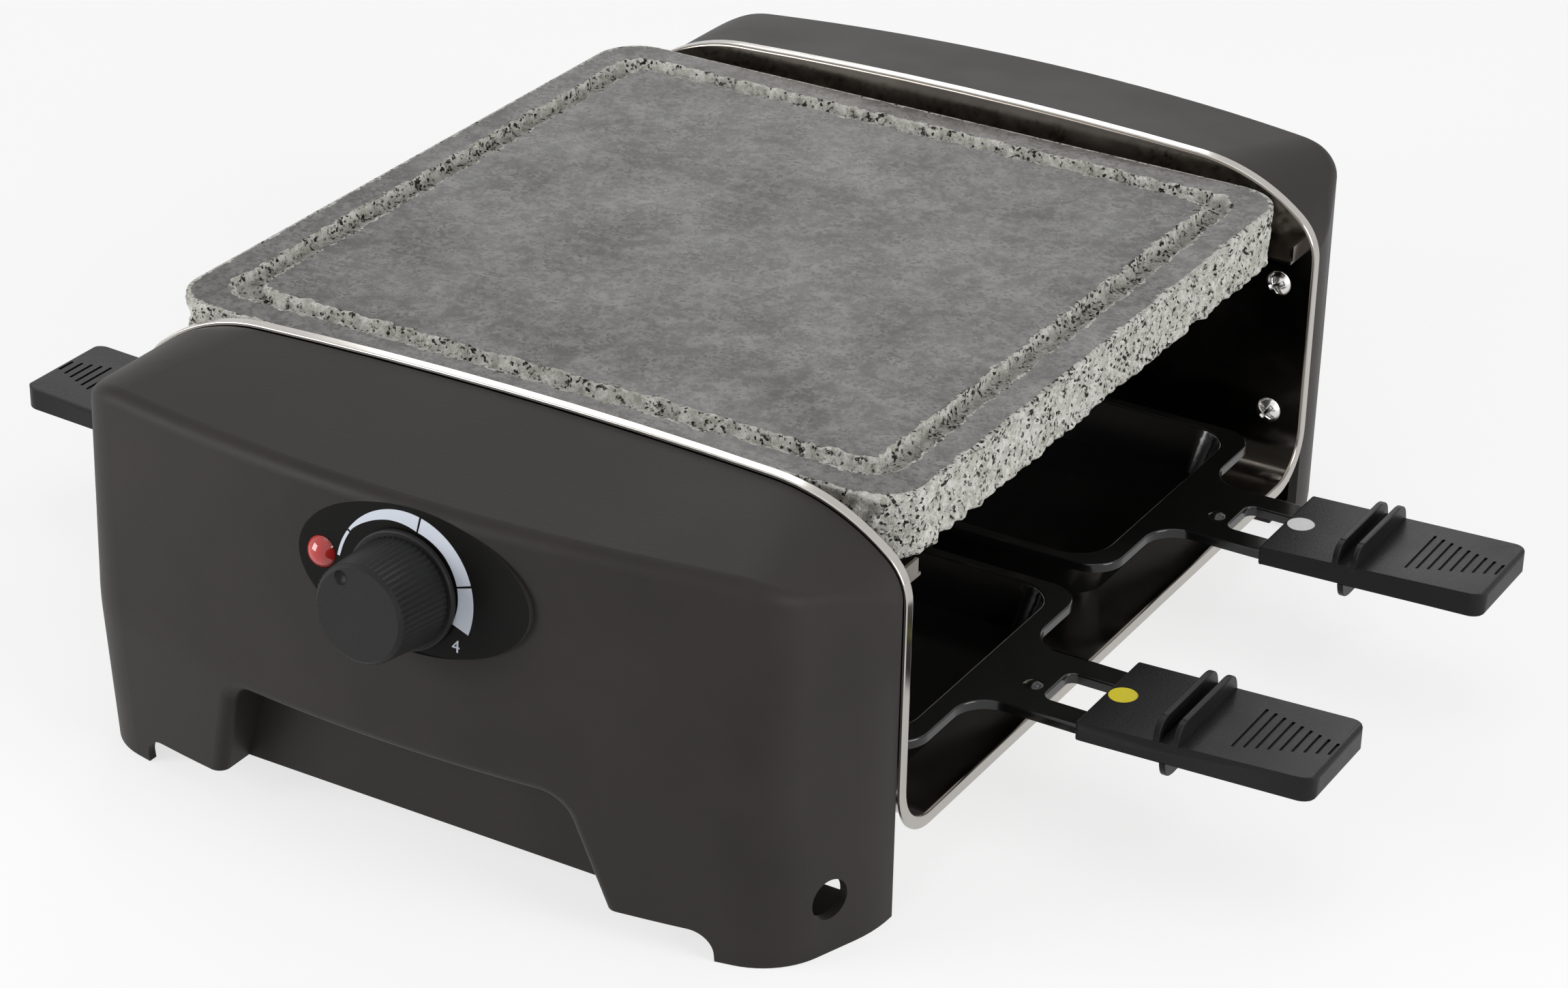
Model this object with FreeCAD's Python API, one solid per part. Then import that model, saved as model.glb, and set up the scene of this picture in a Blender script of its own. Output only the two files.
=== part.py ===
import FreeCAD, Part
import math
import os

os.makedirs("parts", exist_ok=True)
V = FreeCAD.Vector

# Four-pan raclette grill with a stone plate. Millimetres, +Z up.
# The pans pull out along +X and -X, and the front, with the knob, faces -Y.
# Pieces are drawn round the middle of the tub at table height. As it is saved, each one is
# moved back by outline_mid_y, so that the finished origin is under the middle of the outline.

# Stone plate: the size that the grill is built round
stone_size = 210.0
stone_t = 17.0
stone_z = 85.5
stone_shift_x = -3.0
stone_corner_r = 13.0
stone_edge_r = 1.2
groove_inset = 9.5
groove_w = 7.0
groove_d = 2.6
groove_corner_r = 9.0
groove_inner_r = 5.0

# Tub: one pressed sheet of steel, bent to a U and open at both ends
tub_sheet = 0.8
stone_side_gap = 4.7
mouth_margin = 3.3
tub_floor_z = 20.5
tub_bend_r = 12.5
flange_w = 2.6

# Shoulder outline of the tub walls, seen from the front: crown, shoulder and edge arcs
rim_top_z = 108.3
crown_side = 36.3
crown_slope = 3.0
shoulder_slope = 40.0
shoulder_r = 52.0

# Casings: two moulded shells. Distances out are from the plane where a casing meets the tub.
casing_wall = 2.5
casing_side_step = 1.0
casing_gap = 0.3
casing_drop = 1.0
side_ease = 0.06
face_foot_out = 46.0
face_crease_out = 51.9
face_crease_z = 44.0
face_top_out = 47.1
face_top_drop = 7.9
bow_sag = 7.6
bow_half = 80.0
lean_angle = 19.9
bend_out = 7.2
bend_r = 38.0
corner_r = 20.0
corner_top_r = 12.0
top_slope = 0.137
front_crown_side = 13.3
front_crown_slope = 2.0
front_shoulder_r = 8.0
front_section_out = 58.6
crease_r = 4.0
lower_crease_h = 5.0

# Feet and the recess between the legs
foot_side = 25.3
foot_h = 8.0
foot_cove_r = 6.0
recess_out = 32.6
recess_z = 37.5
recess_top_side = 60.8
recess_foot_side = 52.3
recess_r = 8.0
recess_edge_r = 3.0

# Bulkheads, bosses and cord outlet inside the casings
bulkhead_side = 21.3
bulkhead_t = 2.0
boss_r = 3.8
boss_depth = 14.0
rib_t = 2.0
cord_hole_r = 5.2
cord_hole_along = 14.6
cord_hole_z = 14.5
lead_hole_r = 4.5
lead_hole_up = 6.0

# Screws that hold the casings, from inside the tub
tub_screw_side = 8.8
tub_screw_zs = (36.6, 74.5)
screw_r = 1.6
screw_head_r = 3.6
screw_head_h = 2.2
screw_len = 10.0
pilot_gap = 0.05
hole_gap = 0.3

# Front base cover
cover_t = 2.0
cover_gap = 0.4
cover_post_side = 8.0
cover_post_outs = (6.6, 23.6)
cover_post_h = 14.0
cover_head_h = 1.8
vent_pitch = 8.0
vent_w = 2.4
vent_l = 12.0
vent_count = 10

# Lanced tabs in the tub walls that carry the stone, with end stops
tab_len = 16.2
tab_side = 4.1
tab_reach = 8.5
stop_reach = 7.3
tab_slot_h = 5.0
stop_h = 4.0

# Heating element: one tube bent into an M
element_r = 3.3
element_z = 71.0
leg_outer_x = 52.0
leg_inner_x = 12.0
turn_wall_gap = 39.7
terminal_len = 11.0
terminal_w = 6.3
terminal_t = 0.8
terminal_pin_r = 1.2
element_tail = 19.0
bush_r = 5.2
bush_depth = 3.0
bush_flange_r = 7.5
bush_flange_t = 2.0

# Element clips on the rear wall
clip_w = 12.0
clip_t = 1.0
clip_reach = 24.0
clip_back_h = 12.0
clip_lip_h = 3.0
clip_gap = 0.05

# Heat shield in the front casing
shield_stand = 9.0
shield_t = 0.6
shield_side = 8.0
shield_z0 = 24.0
shield_z1 = 92.0
shield_foot = 8.0
shield_foot_xs = (-50.0, 0.0, 50.0)

# Dial, knob and thermostat. The dial is a flat oval on the bowed face.
knob_x = 5.0
knob_drop = 28.8
dial_x = 7.2
dial_drop = 26.1
dial_half_w = 32.0
dial_half_h = 17.6
dial_sink = 0.5
dial_pad = 3.4
knob_gap = 0.6
knob_h = 18.0
knob_top_r = 12.3
knob_root_r = 13.3
knob_bevel = 0.8
skirt_r = 14.6
skirt_h = 1.4
skirt_edge_r = 0.5
flute_count = 56
flute_d = 0.35
pointer_angle = 121.0
pointer_r = 9.2
dimple_r = 1.8
dimple_d = 1.1
shaft_r = 3.0
shaft_fit = 0.05
shaft_back = 20.0
shaft_flat = 0.8
shaft_hole_r = 4.4
knob_bore_depth = 14.0
bracket_s = 9.0
bracket_t = 1.2
bracket_half_w = 12.0
bracket_half_h = 18.0
bracket_post_up = 14.4
bracket_post_r = 3.4
bracket_head_r = 3.0
bracket_head_h = 1.8
thermo_r = 11.0
thermo_len = 15.0
thermo_ear = 3.0
thermo_tab_x = 7.0
thermo_tab_l = 7.0
bush_thread_r = 4.8
bush_thread_past = 1.5
nut_flats = 14.0
nut_t = 2.2

# Indicator lamp
lamp_x = -18.3
lens_r = 3.9
lens_fit = 0.1
lens_dome = 2.4
lens_wall = 1.2
lens_flange_r = 5.4
lens_flange_t = 1.2
bulb_r = 2.4
bulb_sink = 2.0
bulb_len = 11.0
holder_r = 4.4
holder_len = 10.0

# Terminal block and leads
block_bulkhead_gap = 34.0
block_out = 13.6
block_l = 24.0
block_w = 12.0
block_h = 13.0
block_screw_r = 2.0
block_screw_h = 2.5
block_well = 4.0
block_slit = 1.2
lead_r = 1.1
lead_bend_r = 2.6
lead_gap = 0.3
lead_loop = 7.0
lead_mid_z = 50.0
lead_drop = 10.0
lead_front = 6.0

# Pans
pan_side_gap = 13.3
pan_mid_gap = 6.4
pan_x0 = 8.0
pan_mouth_gap = 6.8
pan_depth = 13.7
pan_sheet = 1.2
pan_inner_r = 14.0
pan_outer_r = 9.0
pan_rim_w = 2.2
pan_shelf = 4.5
pan_draft = 4.0
bowl_r = 11.0
hem_h = 2.4
hem_t = 1.0
tang_half_w = 14.5
tang_sweep_r = 9.0
pip_out = 3.7
pip_y = -3.0
pip_r = 2.2
pip_h = 1.1
slot_out = 8.2
slot_half_w = 7.0
slot_r = 2.5
slot_under_handle = 3.0
collar_h = 2.6
collar_t = 0.9

# Pan handles
handle_out = 21.7
handle_len = 60.5
tang_in_handle = 20.0
handle_half_w0 = 16.6
handle_half_w1 = 15.6
handle_end_r = 4.0
handle_edge_r = 0.8
handle_below0 = 2.6
handle_below1 = 1.2
handle_above0 = 2.4
handle_above1 = 5.3
fin_ats = (20.0, 25.0)
fin_t = 1.6
fin_h = 5.0
fin_step = 4.5
low_fin_at = 22.0
low_fin_h = 5.0
grip_at = 37.0
grip_step = 2.65
grip_count = 9
grip_half0 = 10.0
grip_half1 = 2.9
grip_w = 0.8
grip_d = 0.5
dot_at = 4.4
dot_r = 3.6
dot_t = 0.6

# Worked out from the sizes above
tub_in_y = stone_size / 2 + stone_side_gap
tub_half_y = tub_in_y + tub_sheet
tub_half_x = stone_size / 2 + mouth_margin
crown_end_x = tub_half_x - crown_side
floor_top_z = tub_floor_z + tub_sheet
stone_top_z = stone_z + stone_t
casing_half_x = tub_half_x - casing_side_step
casing_back_y = tub_half_y + flange_w + casing_gap
face_foot_y = casing_back_y + face_foot_out
face_crease_y = casing_back_y + face_crease_out
face_top_y = casing_back_y + face_top_out
face_top_z = rim_top_z - face_top_drop
face_lean = math.atan((face_crease_y - face_top_y) / (face_top_z - face_crease_z))
knob_z = rim_top_z - knob_drop
dial_z = rim_top_z - dial_drop
bow_r = (bow_half ** 2 + bow_sag ** 2) / (2 * bow_sag)
bend_y = casing_back_y + bend_out
front_section_y = casing_back_y + front_section_out
front_crown_end_x = casing_half_x - front_crown_side
foot_half_x = casing_half_x - foot_side
recess_y = casing_back_y + recess_out
recess_top_half = casing_half_x - recess_top_side
recess_foot_half = casing_half_x - recess_foot_side
bulkhead_x = casing_half_x - bulkhead_side
tub_screw_x = casing_half_x - tub_screw_side
cover_top_z = foot_h + cover_t
cover_post_x = bulkhead_x - cover_post_side
cover_post_ys = [casing_back_y + out for out in cover_post_outs]
tab_x1 = tub_half_x - tab_side
tab_x0 = tab_x1 - tab_len
turn_y = tub_in_y - turn_wall_gap
leg_mid_x = (leg_outer_x + leg_inner_x) / 2
element_start_y = -(tub_half_y + element_tail)
shield_half_x = bulkhead_x - shield_side
block_x = bulkhead_x - block_bulkhead_gap
block_y = casing_back_y + block_out
pan_half_w = (tub_in_y - pan_side_gap - pan_mid_gap) / 2
pan_y = pan_mid_gap + pan_half_w
pan_x1 = tub_half_x - pan_mouth_gap
pan_rim_z = floor_top_z + pan_depth
handle_x0 = tub_half_x + handle_out
handle_x1 = handle_x0 + handle_len
tang_end_x = handle_x0 + tang_in_handle
slot_x0 = tub_half_x + slot_out
slot_x1 = handle_x0 + slot_under_handle
dot_x = handle_x0 + dot_at


def rounded(points, closed=True):
    """Lines and tangent arcs through (vector, radius) corners, as a wire."""
    n = len(points)
    ends = []
    for i, (p, r) in enumerate(points):
        if r == 0 or (not closed and i in (0, n - 1)):
            ends.append((p, None, p))
            continue
        a = (points[i - 1][0] - p).normalize()
        b = (points[(i + 1) % n][0] - p).normalize()
        half = a.getAngle(b) / 2
        t = r / math.tan(half)
        mid = (a + b).normalize()
        c = p + mid * (r / math.sin(half))
        ends.append((p + a * t, c - mid * r, p + b * t))
    edges = []
    for i, (start, mid, end) in enumerate(ends):
        if mid is not None:
            edges.append(Part.Arc(start, mid, end).toShape())
        if closed or i < n - 1:
            nxt = ends[(i + 1) % n][0]
            if (nxt - end).Length > 1e-6:
                edges.append(Part.LineSegment(end, nxt).toShape())
    return Part.Wire(edges)


def prism_z(points, z0, z1):
    """Extrude (x, y, radius) corners from z0 to z1."""
    face = Part.Face(rounded([(V(x, y, z0), r) for x, y, r in points]))
    return face.extrude(V(0, 0, z1 - z0))


def prism_y(points, y0, y1):
    """Extrude (x, z, radius) corners from y0 to y1."""
    face = Part.Face(rounded([(V(x, y0, z), r) for x, z, r in points]))
    return face.extrude(V(0, y1 - y0, 0))


def prism_x(points, x0, x1):
    """Extrude (y, z, radius) corners from x0 to x1."""
    face = Part.Face(rounded([(V(x0, y, z), r) for y, z, r in points]))
    return face.extrude(V(x1 - x0, 0, 0))


def rectangle(x0, x1, y0, y1, r):
    return [(x0, y0, r), (x1, y0, r), (x1, y1, r), (x0, y1, r)]


def box(x0, x1, y0, y1, z0, z1):
    return Part.makeBox(x1 - x0, y1 - y0, z1 - z0, V(x0, y0, z0))


def rod(r, start, end):
    return Part.makeCylinder(r, (end - start).Length, start, end - start)


def fused(shapes):
    first = shapes[0]
    return first.fuse(shapes[1:]).removeSplitter() if len(shapes) > 1 else first


def mirrored(shape, across):
    return shape.mirror(V(0, 0, 0), across)


def both_sides(shape):
    return [shape, mirrored(shape, V(1, 0, 0))]


def arc_edge(centre, r, a0, a1, place):
    """Arc in a plane; place(u, v) turns plane coordinates into a vector."""
    def at(a):
        return place(centre[0] + r * math.cos(a), centre[1] + r * math.sin(a))
    return Part.Arc(at(a0), at((a0 + a1) / 2), at(a1)).toShape()


def shoulder_outline(y, top_z, low_z, half_x, end_x, slope, mid_r, inset):
    """Closed outline in the plane at y: flat bottom, straight sides, crowned and shouldered top."""
    s = math.radians(slope)
    m = math.radians(shoulder_slope)
    crown_r = end_x / math.sin(s)
    c1 = (0.0, top_z - crown_r)
    p1 = (end_x, c1[1] + crown_r * math.cos(s))
    c2 = (p1[0] - mid_r * math.sin(s), p1[1] - mid_r * math.cos(s))
    p2 = (c2[0] + mid_r * math.sin(m), c2[1] + mid_r * math.cos(m))
    edge_r = (half_x - p2[0]) / (1 - math.sin(m))
    c3 = (p2[0] - edge_r * math.sin(m), p2[1] - edge_r * math.cos(m))

    def right(u, v):
        return V(u, y, v)

    def left(u, v):
        return V(-u, y, v)

    quarter = math.pi / 2
    side_x = half_x - inset
    low = V(side_x, y, low_z)
    low_left = V(-side_x, y, low_z)
    edges = [Part.LineSegment(low, right(side_x, c3[1])).toShape(),
             arc_edge(c3, edge_r - inset, 0, quarter - m, right),
             arc_edge(c2, mid_r - inset, quarter - m, quarter - s, right),
             arc_edge(c1, crown_r - inset, quarter - s, quarter + s, right),
             arc_edge(c2, mid_r - inset, quarter - s, quarter - m, left),
             arc_edge(c3, edge_r - inset, quarter - m, 0, left),
             Part.LineSegment(left(side_x, c3[1]), low_left).toShape(),
             Part.LineSegment(low_left, low).toShape()]
    return Part.Wire(edges)


def tub_outline(y, inset=0.0):
    return shoulder_outline(y, rim_top_z, 0, tub_half_x, crown_end_x, crown_slope, shoulder_r, inset)


def face_y(z):
    """Distance of the front face's middle from the centre plane at height z, bent softly at the crease."""
    below = (face_crease_y - face_foot_y) / face_crease_z
    above = -math.tan(face_lean)
    dz = z - face_crease_z
    h = lower_crease_h
    if abs(dz) >= h:
        return face_crease_y + dz * (below if dz < 0 else above)
    turn = above - below
    return face_crease_y + dz * (above + below) / 2 + turn * (dz * dz + h * h) / (4 * h)


def plan_outline(z, back_y, inset):
    """Casing outline at height z, open side at y = -back_y, bowed front towards -Y."""
    lean = math.radians(lean_angle)
    front = face_y(z)
    round_r = corner_r if z < rim_top_z else corner_top_r
    out = (math.cos(lean), -math.sin(lean))
    down = (-math.sin(lean), -math.cos(lean))
    t = bend_r * math.tan(lean / 2)
    c_bend = (casing_half_x - bend_r, -bend_y + t)
    c_bow = (0.0, bow_r - front)
    # The corner circle touches the leaning side and, from inside, the bow
    p0 = (casing_half_x - round_r * out[0], -bend_y - round_r * out[1])
    dx, dy = p0[0] - c_bow[0], p0[1] - c_bow[1]
    b = dx * down[0] + dy * down[1]
    c = dx * dx + dy * dy - (bow_r - round_r) ** 2
    s = -b + math.sqrt(b * b - c)
    c_corner = (p0[0] + s * down[0], p0[1] + s * down[1])
    bow_end = math.atan2(c_corner[1] - c_bow[1], c_corner[0] - c_bow[0])

    def right(u, v):
        return V(u, v, z)

    def left(u, v):
        return V(-u, v, z)

    def lean_point(centre, r, place):
        return place(centre[0] + r * out[0], centre[1] + r * out[1])

    side_x = casing_half_x - inset
    r_bend = bend_r - inset
    r_corner = round_r - inset
    edges = []
    back = [right(side_x, -back_y), left(side_x, -back_y)]
    edges.append(Part.LineSegment(back[0], right(side_x, c_bend[1])).toShape())
    edges.append(arc_edge(c_bend, r_bend, 0, -lean, right))
    edges.append(Part.LineSegment(lean_point(c_bend, r_bend, right),
                                  lean_point(c_corner, r_corner, right)).toShape())
    edges.append(arc_edge(c_corner, r_corner, -lean, bow_end, right))
    edges.append(arc_edge(c_bow, bow_r - inset, bow_end, -math.pi - bow_end, right))
    edges.append(arc_edge(c_corner, r_corner, bow_end, -lean, left))
    edges.append(Part.LineSegment(lean_point(c_corner, r_corner, left),
                                  lean_point(c_bend, r_bend, left)).toShape())
    edges.append(arc_edge(c_bend, r_bend, -lean, 0, left))
    edges.append(Part.LineSegment(left(side_x, c_bend[1]), back[1]).toShape())
    edges.append(Part.LineSegment(back[1], back[0]).toShape())
    return Part.Wire(edges)


def casing_block(inset, back_y, low_z):
    """Solid form of a casing, shrunk by inset on its outer faces."""
    bend = [face_crease_z + lower_crease_h * t for t in (-1, -0.6, -0.2, 0.2, 0.6, 1)]
    levels = [low_z] + bend + [rim_top_z + 4]
    body = Part.makeLoft([plan_outline(z, back_y, inset) for z in levels], True, True)
    top_back = rim_top_z - casing_drop
    top_front = top_back - top_slope * (front_section_y - casing_back_y)
    half_x = casing_half_x + side_ease
    near = shoulder_outline(-back_y + 1, top_back, low_z - 5, half_x,
                            crown_end_x, crown_slope, shoulder_r, inset)
    far = shoulder_outline(-front_section_y, top_front, low_z - 5, half_x,
                           front_crown_end_x, front_crown_slope, front_shoulder_r, inset)
    return body.common(Part.makeLoft([near, far], True, True))


def middle(edge):
    return edge.valueAt((edge.FirstParameter + edge.LastParameter) / 2)


def crease_angle(shape, edge):
    """Degrees between the two faces that meet at an edge."""
    m = middle(edge)
    normals = [f.normalAt(*f.Surface.parameter(m)) for f in shape.ancestorsOfType(edge, Part.Face)]
    if len(normals) != 2:
        return 0.0
    return math.degrees(normals[0].getAngle(normals[1]))


def soften(block, r, wanted, least=12.0):
    """Round the creased edges whose middle point is wanted."""
    edges = [e for e in block.Edges if wanted(middle(e)) and crease_angle(block, e) > least]
    return block.makeFillet(r, edges)


def soft_casing_form():
    """Outer form of a casing with its creases rounded and the recess cut in."""
    block = casing_block(0, casing_back_y, 0)
    front = -casing_back_y - 1
    block = soften(block, crease_r, lambda m: m.y < front and m.z > face_crease_z + 5)
    block = block.cut(recess_block(0))
    deep = -recess_y - 4
    high = recess_z + 1
    return soften(block, recess_edge_r,
                  lambda m: m.y < deep and foot_h / 2 < m.z < high and abs(m.x) < foot_half_x)


def recess_block(grow):
    """Space between the legs, under the face, widened by grow."""
    rise = recess_z - foot_h
    side = (recess_foot_half - recess_top_half) / rise
    wide = grow * math.sqrt(1 + side * side)
    low = -foot_h
    foot = recess_top_half + side * (recess_z - low) + wide
    top_z = recess_z + grow
    top = recess_top_half - side * grow + wide
    return prism_y([(-foot, low, 0), (-top, top_z, recess_r + grow), (top, top_z, recess_r + grow),
                    (foot, low, 0)], -front_section_y - 1, -recess_y + grow)


def under_block():
    """Air under the casing between its feet, with coves up from the feet."""
    low = -foot_h
    return prism_y([(-foot_half_x, low, 0), (-foot_half_x, foot_h, foot_cove_r),
                    (foot_half_x, foot_h, foot_cove_r), (foot_half_x, low, 0)], -front_section_y - 1, 0)


def screw_boss(x, z):
    """Boss for a tub screw, standing back from the tub wall, with a rib to the side wall."""
    tip = V(x, -tub_half_y, z)
    boss = rod(boss_r, tip, tip - V(0, boss_depth, 0))
    rib = box(x, casing_half_x - casing_wall / 2, -tub_half_y - boss_depth, -casing_back_y,
              z - rib_t / 2, z + rib_t / 2)
    pilot = rod(screw_r + pilot_gap, tip, tip - V(0, screw_len, 0))
    return boss, rib, pilot


def casing_cavity():
    """Hollow of a casing, open towards the tub and downwards."""
    return casing_block(casing_wall, tub_half_y, -foot_h / 2).cut(recess_block(casing_wall))


def casing_shell():
    """What both casings share: shell, legs, bulkheads and bosses."""
    cavity = casing_cavity()
    within = casing_block(casing_wall / 2, tub_half_y, -foot_h / 2)
    shell = soft_casing_form().cut(cavity)
    adds = []
    pilots = []
    for z in tub_screw_zs:
        boss, rib, pilot = screw_boss(tub_screw_x, z)
        adds += both_sides(boss) + both_sides(rib.common(within))
        pilots += both_sides(pilot)
    wall = box(bulkhead_x, bulkhead_x + bulkhead_t, -front_section_y, -casing_back_y,
               cover_top_z + cover_gap, rim_top_z).common(cavity)
    adds += both_sides(wall)
    return shell.fuse(adds).cut(pilots + [under_block()]).removeSplitter()


# Points and directions of the dial plane
dial_out = V(0, -math.cos(face_lean), math.sin(face_lean))
dial_up = V(0, math.sin(face_lean), math.cos(face_lean))
dial_turn = FreeCAD.Rotation(V(1, 0, 0), dial_up, dial_out, "XYZ")


def on_dial(x, z, s=0.0):
    """Point on the dial plane at x and height z, s mm inwards from it."""
    y = -(face_y(z) - dial_sink / math.cos(face_lean))
    return V(x, y, z) - dial_out * s


knob_centre = on_dial(knob_x, knob_z)
lamp_centre = on_dial(lamp_x, dial_z)


def along(s, up=0.0):
    """Point on the knob's axis, s mm inwards of the dial plane, or up mm above the axis."""
    return knob_centre - dial_out * s + dial_up * up


def dial_rod(r, s0, s1, up=0.0):
    return rod(r, along(s0, up), along(s1, up))


def dial_box(x0, x1, up0, up1, s0, s1):
    """Block square to the dial plane, measured from the knob's centre."""
    block = Part.makeBox(x1 - x0, up1 - up0, s1 - s0)
    block.Placement = FreeCAD.Placement(along(s1, up0) + V(x0, 0, 0), dial_turn)
    return block


def dial_oval(s0, s1):
    """Oval prism through the face, from s0 to s1 inwards of the dial plane."""
    ellipse = Part.Ellipse(V(0, 0, 0), dial_half_w, dial_half_h)
    solid = Part.Face(Part.Wire(ellipse.toShape())).extrude(V(0, 0, s1 - s0))
    solid.Placement = FreeCAD.Placement(on_dial(dial_x, dial_z, s1), dial_turn)
    return solid


def lamp_rod(r, s0, s1):
    return rod(r, lamp_centre - dial_out * s0, lamp_centre - dial_out * s1)


def cord_hole_line():
    """Middle of the cord hole on the leaning side of the corner, and the way out of it."""
    lean = math.radians(lean_angle)
    hole = V(casing_half_x - cord_hole_along * math.sin(lean),
             -bend_y - cord_hole_along * math.cos(lean), cord_hole_z)
    return hole, V(math.cos(lean), -math.sin(lean), 0)


def front_casing():
    bracket_posts = []
    holes = []
    for up in (-bracket_post_up, bracket_post_up):
        bracket_posts.append(dial_rod(bracket_post_r, casing_wall / 2, bracket_s, up))
        holes.append(dial_rod(screw_r + pilot_gap, casing_wall, bracket_s, up))
    cover_posts = []
    for y in cover_post_ys:
        low = V(cover_post_x, -y, cover_top_z)
        cover_posts += both_sides(rod(boss_r, low, low + V(0, 0, cover_post_h)))
        rib = box(cover_post_x, bulkhead_x + bulkhead_t / 2, -y - rib_t / 2, -y + rib_t / 2,
                  cover_top_z + cover_gap, cover_top_z + cover_post_h)
        cover_posts += both_sides(rib)
        holes += both_sides(rod(screw_r + pilot_gap, low, low + V(0, 0, screw_len)))
    shell = casing_shell().fuse([dial_oval(0, dial_pad)] + bracket_posts + cover_posts)
    holes.append(dial_oval(-dial_pad, 0))
    holes.append(dial_rod(shaft_hole_r, -dial_pad, 2 * dial_pad))
    holes.append(lamp_rod(lens_r + lens_fit, -dial_pad, 2 * dial_pad))
    hole, out = cord_hole_line()
    holes.append(rod(cord_hole_r, hole - out * 2 * casing_wall, hole + out * casing_wall))
    pass_through = V(bulkhead_x - bulkhead_t, -block_y, cover_top_z + lead_hole_up)
    holes.append(rod(lead_hole_r, pass_through, pass_through + V(3 * bulkhead_t, 0, 0)))
    return shell.cut(holes).removeSplitter()


def rear_casing():
    return mirrored(casing_shell(), V(0, 1, 0))


def front_base_cover():
    """Flat cover that closes the front casing from below, between the legs."""
    edge = bulkhead_x - cover_gap
    front = recess_y - casing_wall - cover_gap
    inset = casing_wall + cover_gap
    inner = casing_block(inset, tub_half_y, -foot_h / 2).cut(recess_block(inset))
    plate = box(-edge, edge, -front, -casing_back_y, foot_h, cover_top_z)
    sides = box(-edge, edge, -front_section_y, -casing_back_y, foot_h, cover_top_z).common(inner)
    holes = []
    for y in cover_post_ys:
        low = V(cover_post_x, -y, 0)
        holes += both_sides(rod(screw_r + hole_gap, low, low + V(0, 0, cover_top_z + 1)))
    vent_y = (cover_post_ys[0] + cover_post_ys[1]) / 2
    for i in range(vent_count):
        x = vent_pitch * (i - (vent_count - 1) / 2) - vent_pitch
        holes.append(prism_z(rectangle(x - vent_w / 2, x + vent_w / 2, -vent_y - vent_l / 2,
                                       -vent_y + vent_l / 2, vent_w / 2.01), 0, cover_top_z + 1))
    return plate.fuse(sides).cut(holes).removeSplitter()


def u_band(grow_out, grow_in):
    """U of sheet between two walls grown from the tub's outer face, over the tub's whole width."""
    a = tub_half_y + grow_out
    b = tub_half_y - grow_in
    za = tub_floor_z - grow_out
    zb = tub_floor_z + grow_in
    ra = tub_bend_r + grow_out
    rb = tub_bend_r - grow_in
    high = rim_top_z + 5
    outside = prism_x([(-a, high, 0), (-a, za, ra), (a, za, ra), (a, high, 0)], -tub_half_x, tub_half_x)
    inside = prism_x([(-b, high, 0), (-b, zb, rb), (b, zb, rb), (b, high, 0)],
                     -tub_half_x - 1, tub_half_x + 1)
    return outside.cut(inside)


def tub():
    past = flange_w + 1
    envelope = Part.Face(tub_outline(-tub_half_y - past)).extrude(V(0, 2 * (tub_half_y + past), 0))
    hollow = Part.Face(tub_outline(-tub_half_y - past, tub_sheet)).extrude(V(0, 2 * (tub_half_y + past), 0))
    rim = u_band(flange_w, 0).cut(hollow)
    body = u_band(0, tub_sheet).fuse(rim).common(envelope)
    tabs = []
    cuts = []
    slot_top = stone_z - tub_sheet
    for side in (-1, 1):
        wall = side * (tub_in_y + tub_sheet / 2)
        for x1, reach, z1 in ((tab_x1 + tub_sheet, tab_reach, stone_z),
                              (tab_x1 + tub_sheet, stop_reach, stone_z + stop_h)):
            x0 = tab_x0 if z1 == stone_z else tab_x1
            y0, y1 = sorted((wall, side * (tub_in_y - reach)))
            tabs += both_sides(box(x0, x1, y0, y1, slot_top, z1))
        w0, w1 = sorted((side * (tub_half_y + 1), side * (tub_in_y - 1)))
        slot = rectangle(tab_x0 + 1, tab_x1 - 1, slot_top - tab_slot_h, slot_top, 1)
        cuts += both_sides(prism_y(slot, w0, w1))
        for z in tub_screw_zs:
            cuts += both_sides(rod(screw_r + hole_gap, V(tub_screw_x, w0, z), V(tub_screw_x, w1, z)))
    for x in (-leg_outer_x, leg_outer_x):
        cuts.append(rod(bush_r, V(x, -tub_half_y - 1, element_z), V(x, -tub_in_y + 1, element_z)))
    return body.fuse(tabs).cut(cuts).removeSplitter()


def stone():
    h = stone_size / 2
    block = prism_z(rectangle(-h, h, -h, h, stone_corner_r), stone_z, stone_top_z)
    block = block.makeFillet(stone_edge_r, [e for e in block.Edges if middle(e).z > stone_top_z - 1e-6])
    g = h - groove_inset
    k = g - groove_w
    low = stone_top_z - groove_d
    ring = prism_z(rectangle(-g, g, -g, g, groove_corner_r), low, stone_top_z + 1)
    core = prism_z(rectangle(-k, k, -k, k, groove_inner_r), low - 1, stone_top_z + 2)
    plate = block.cut(ring.cut(core))
    plate.translate(V(stone_shift_x, 0, 0))
    return plate


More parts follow.
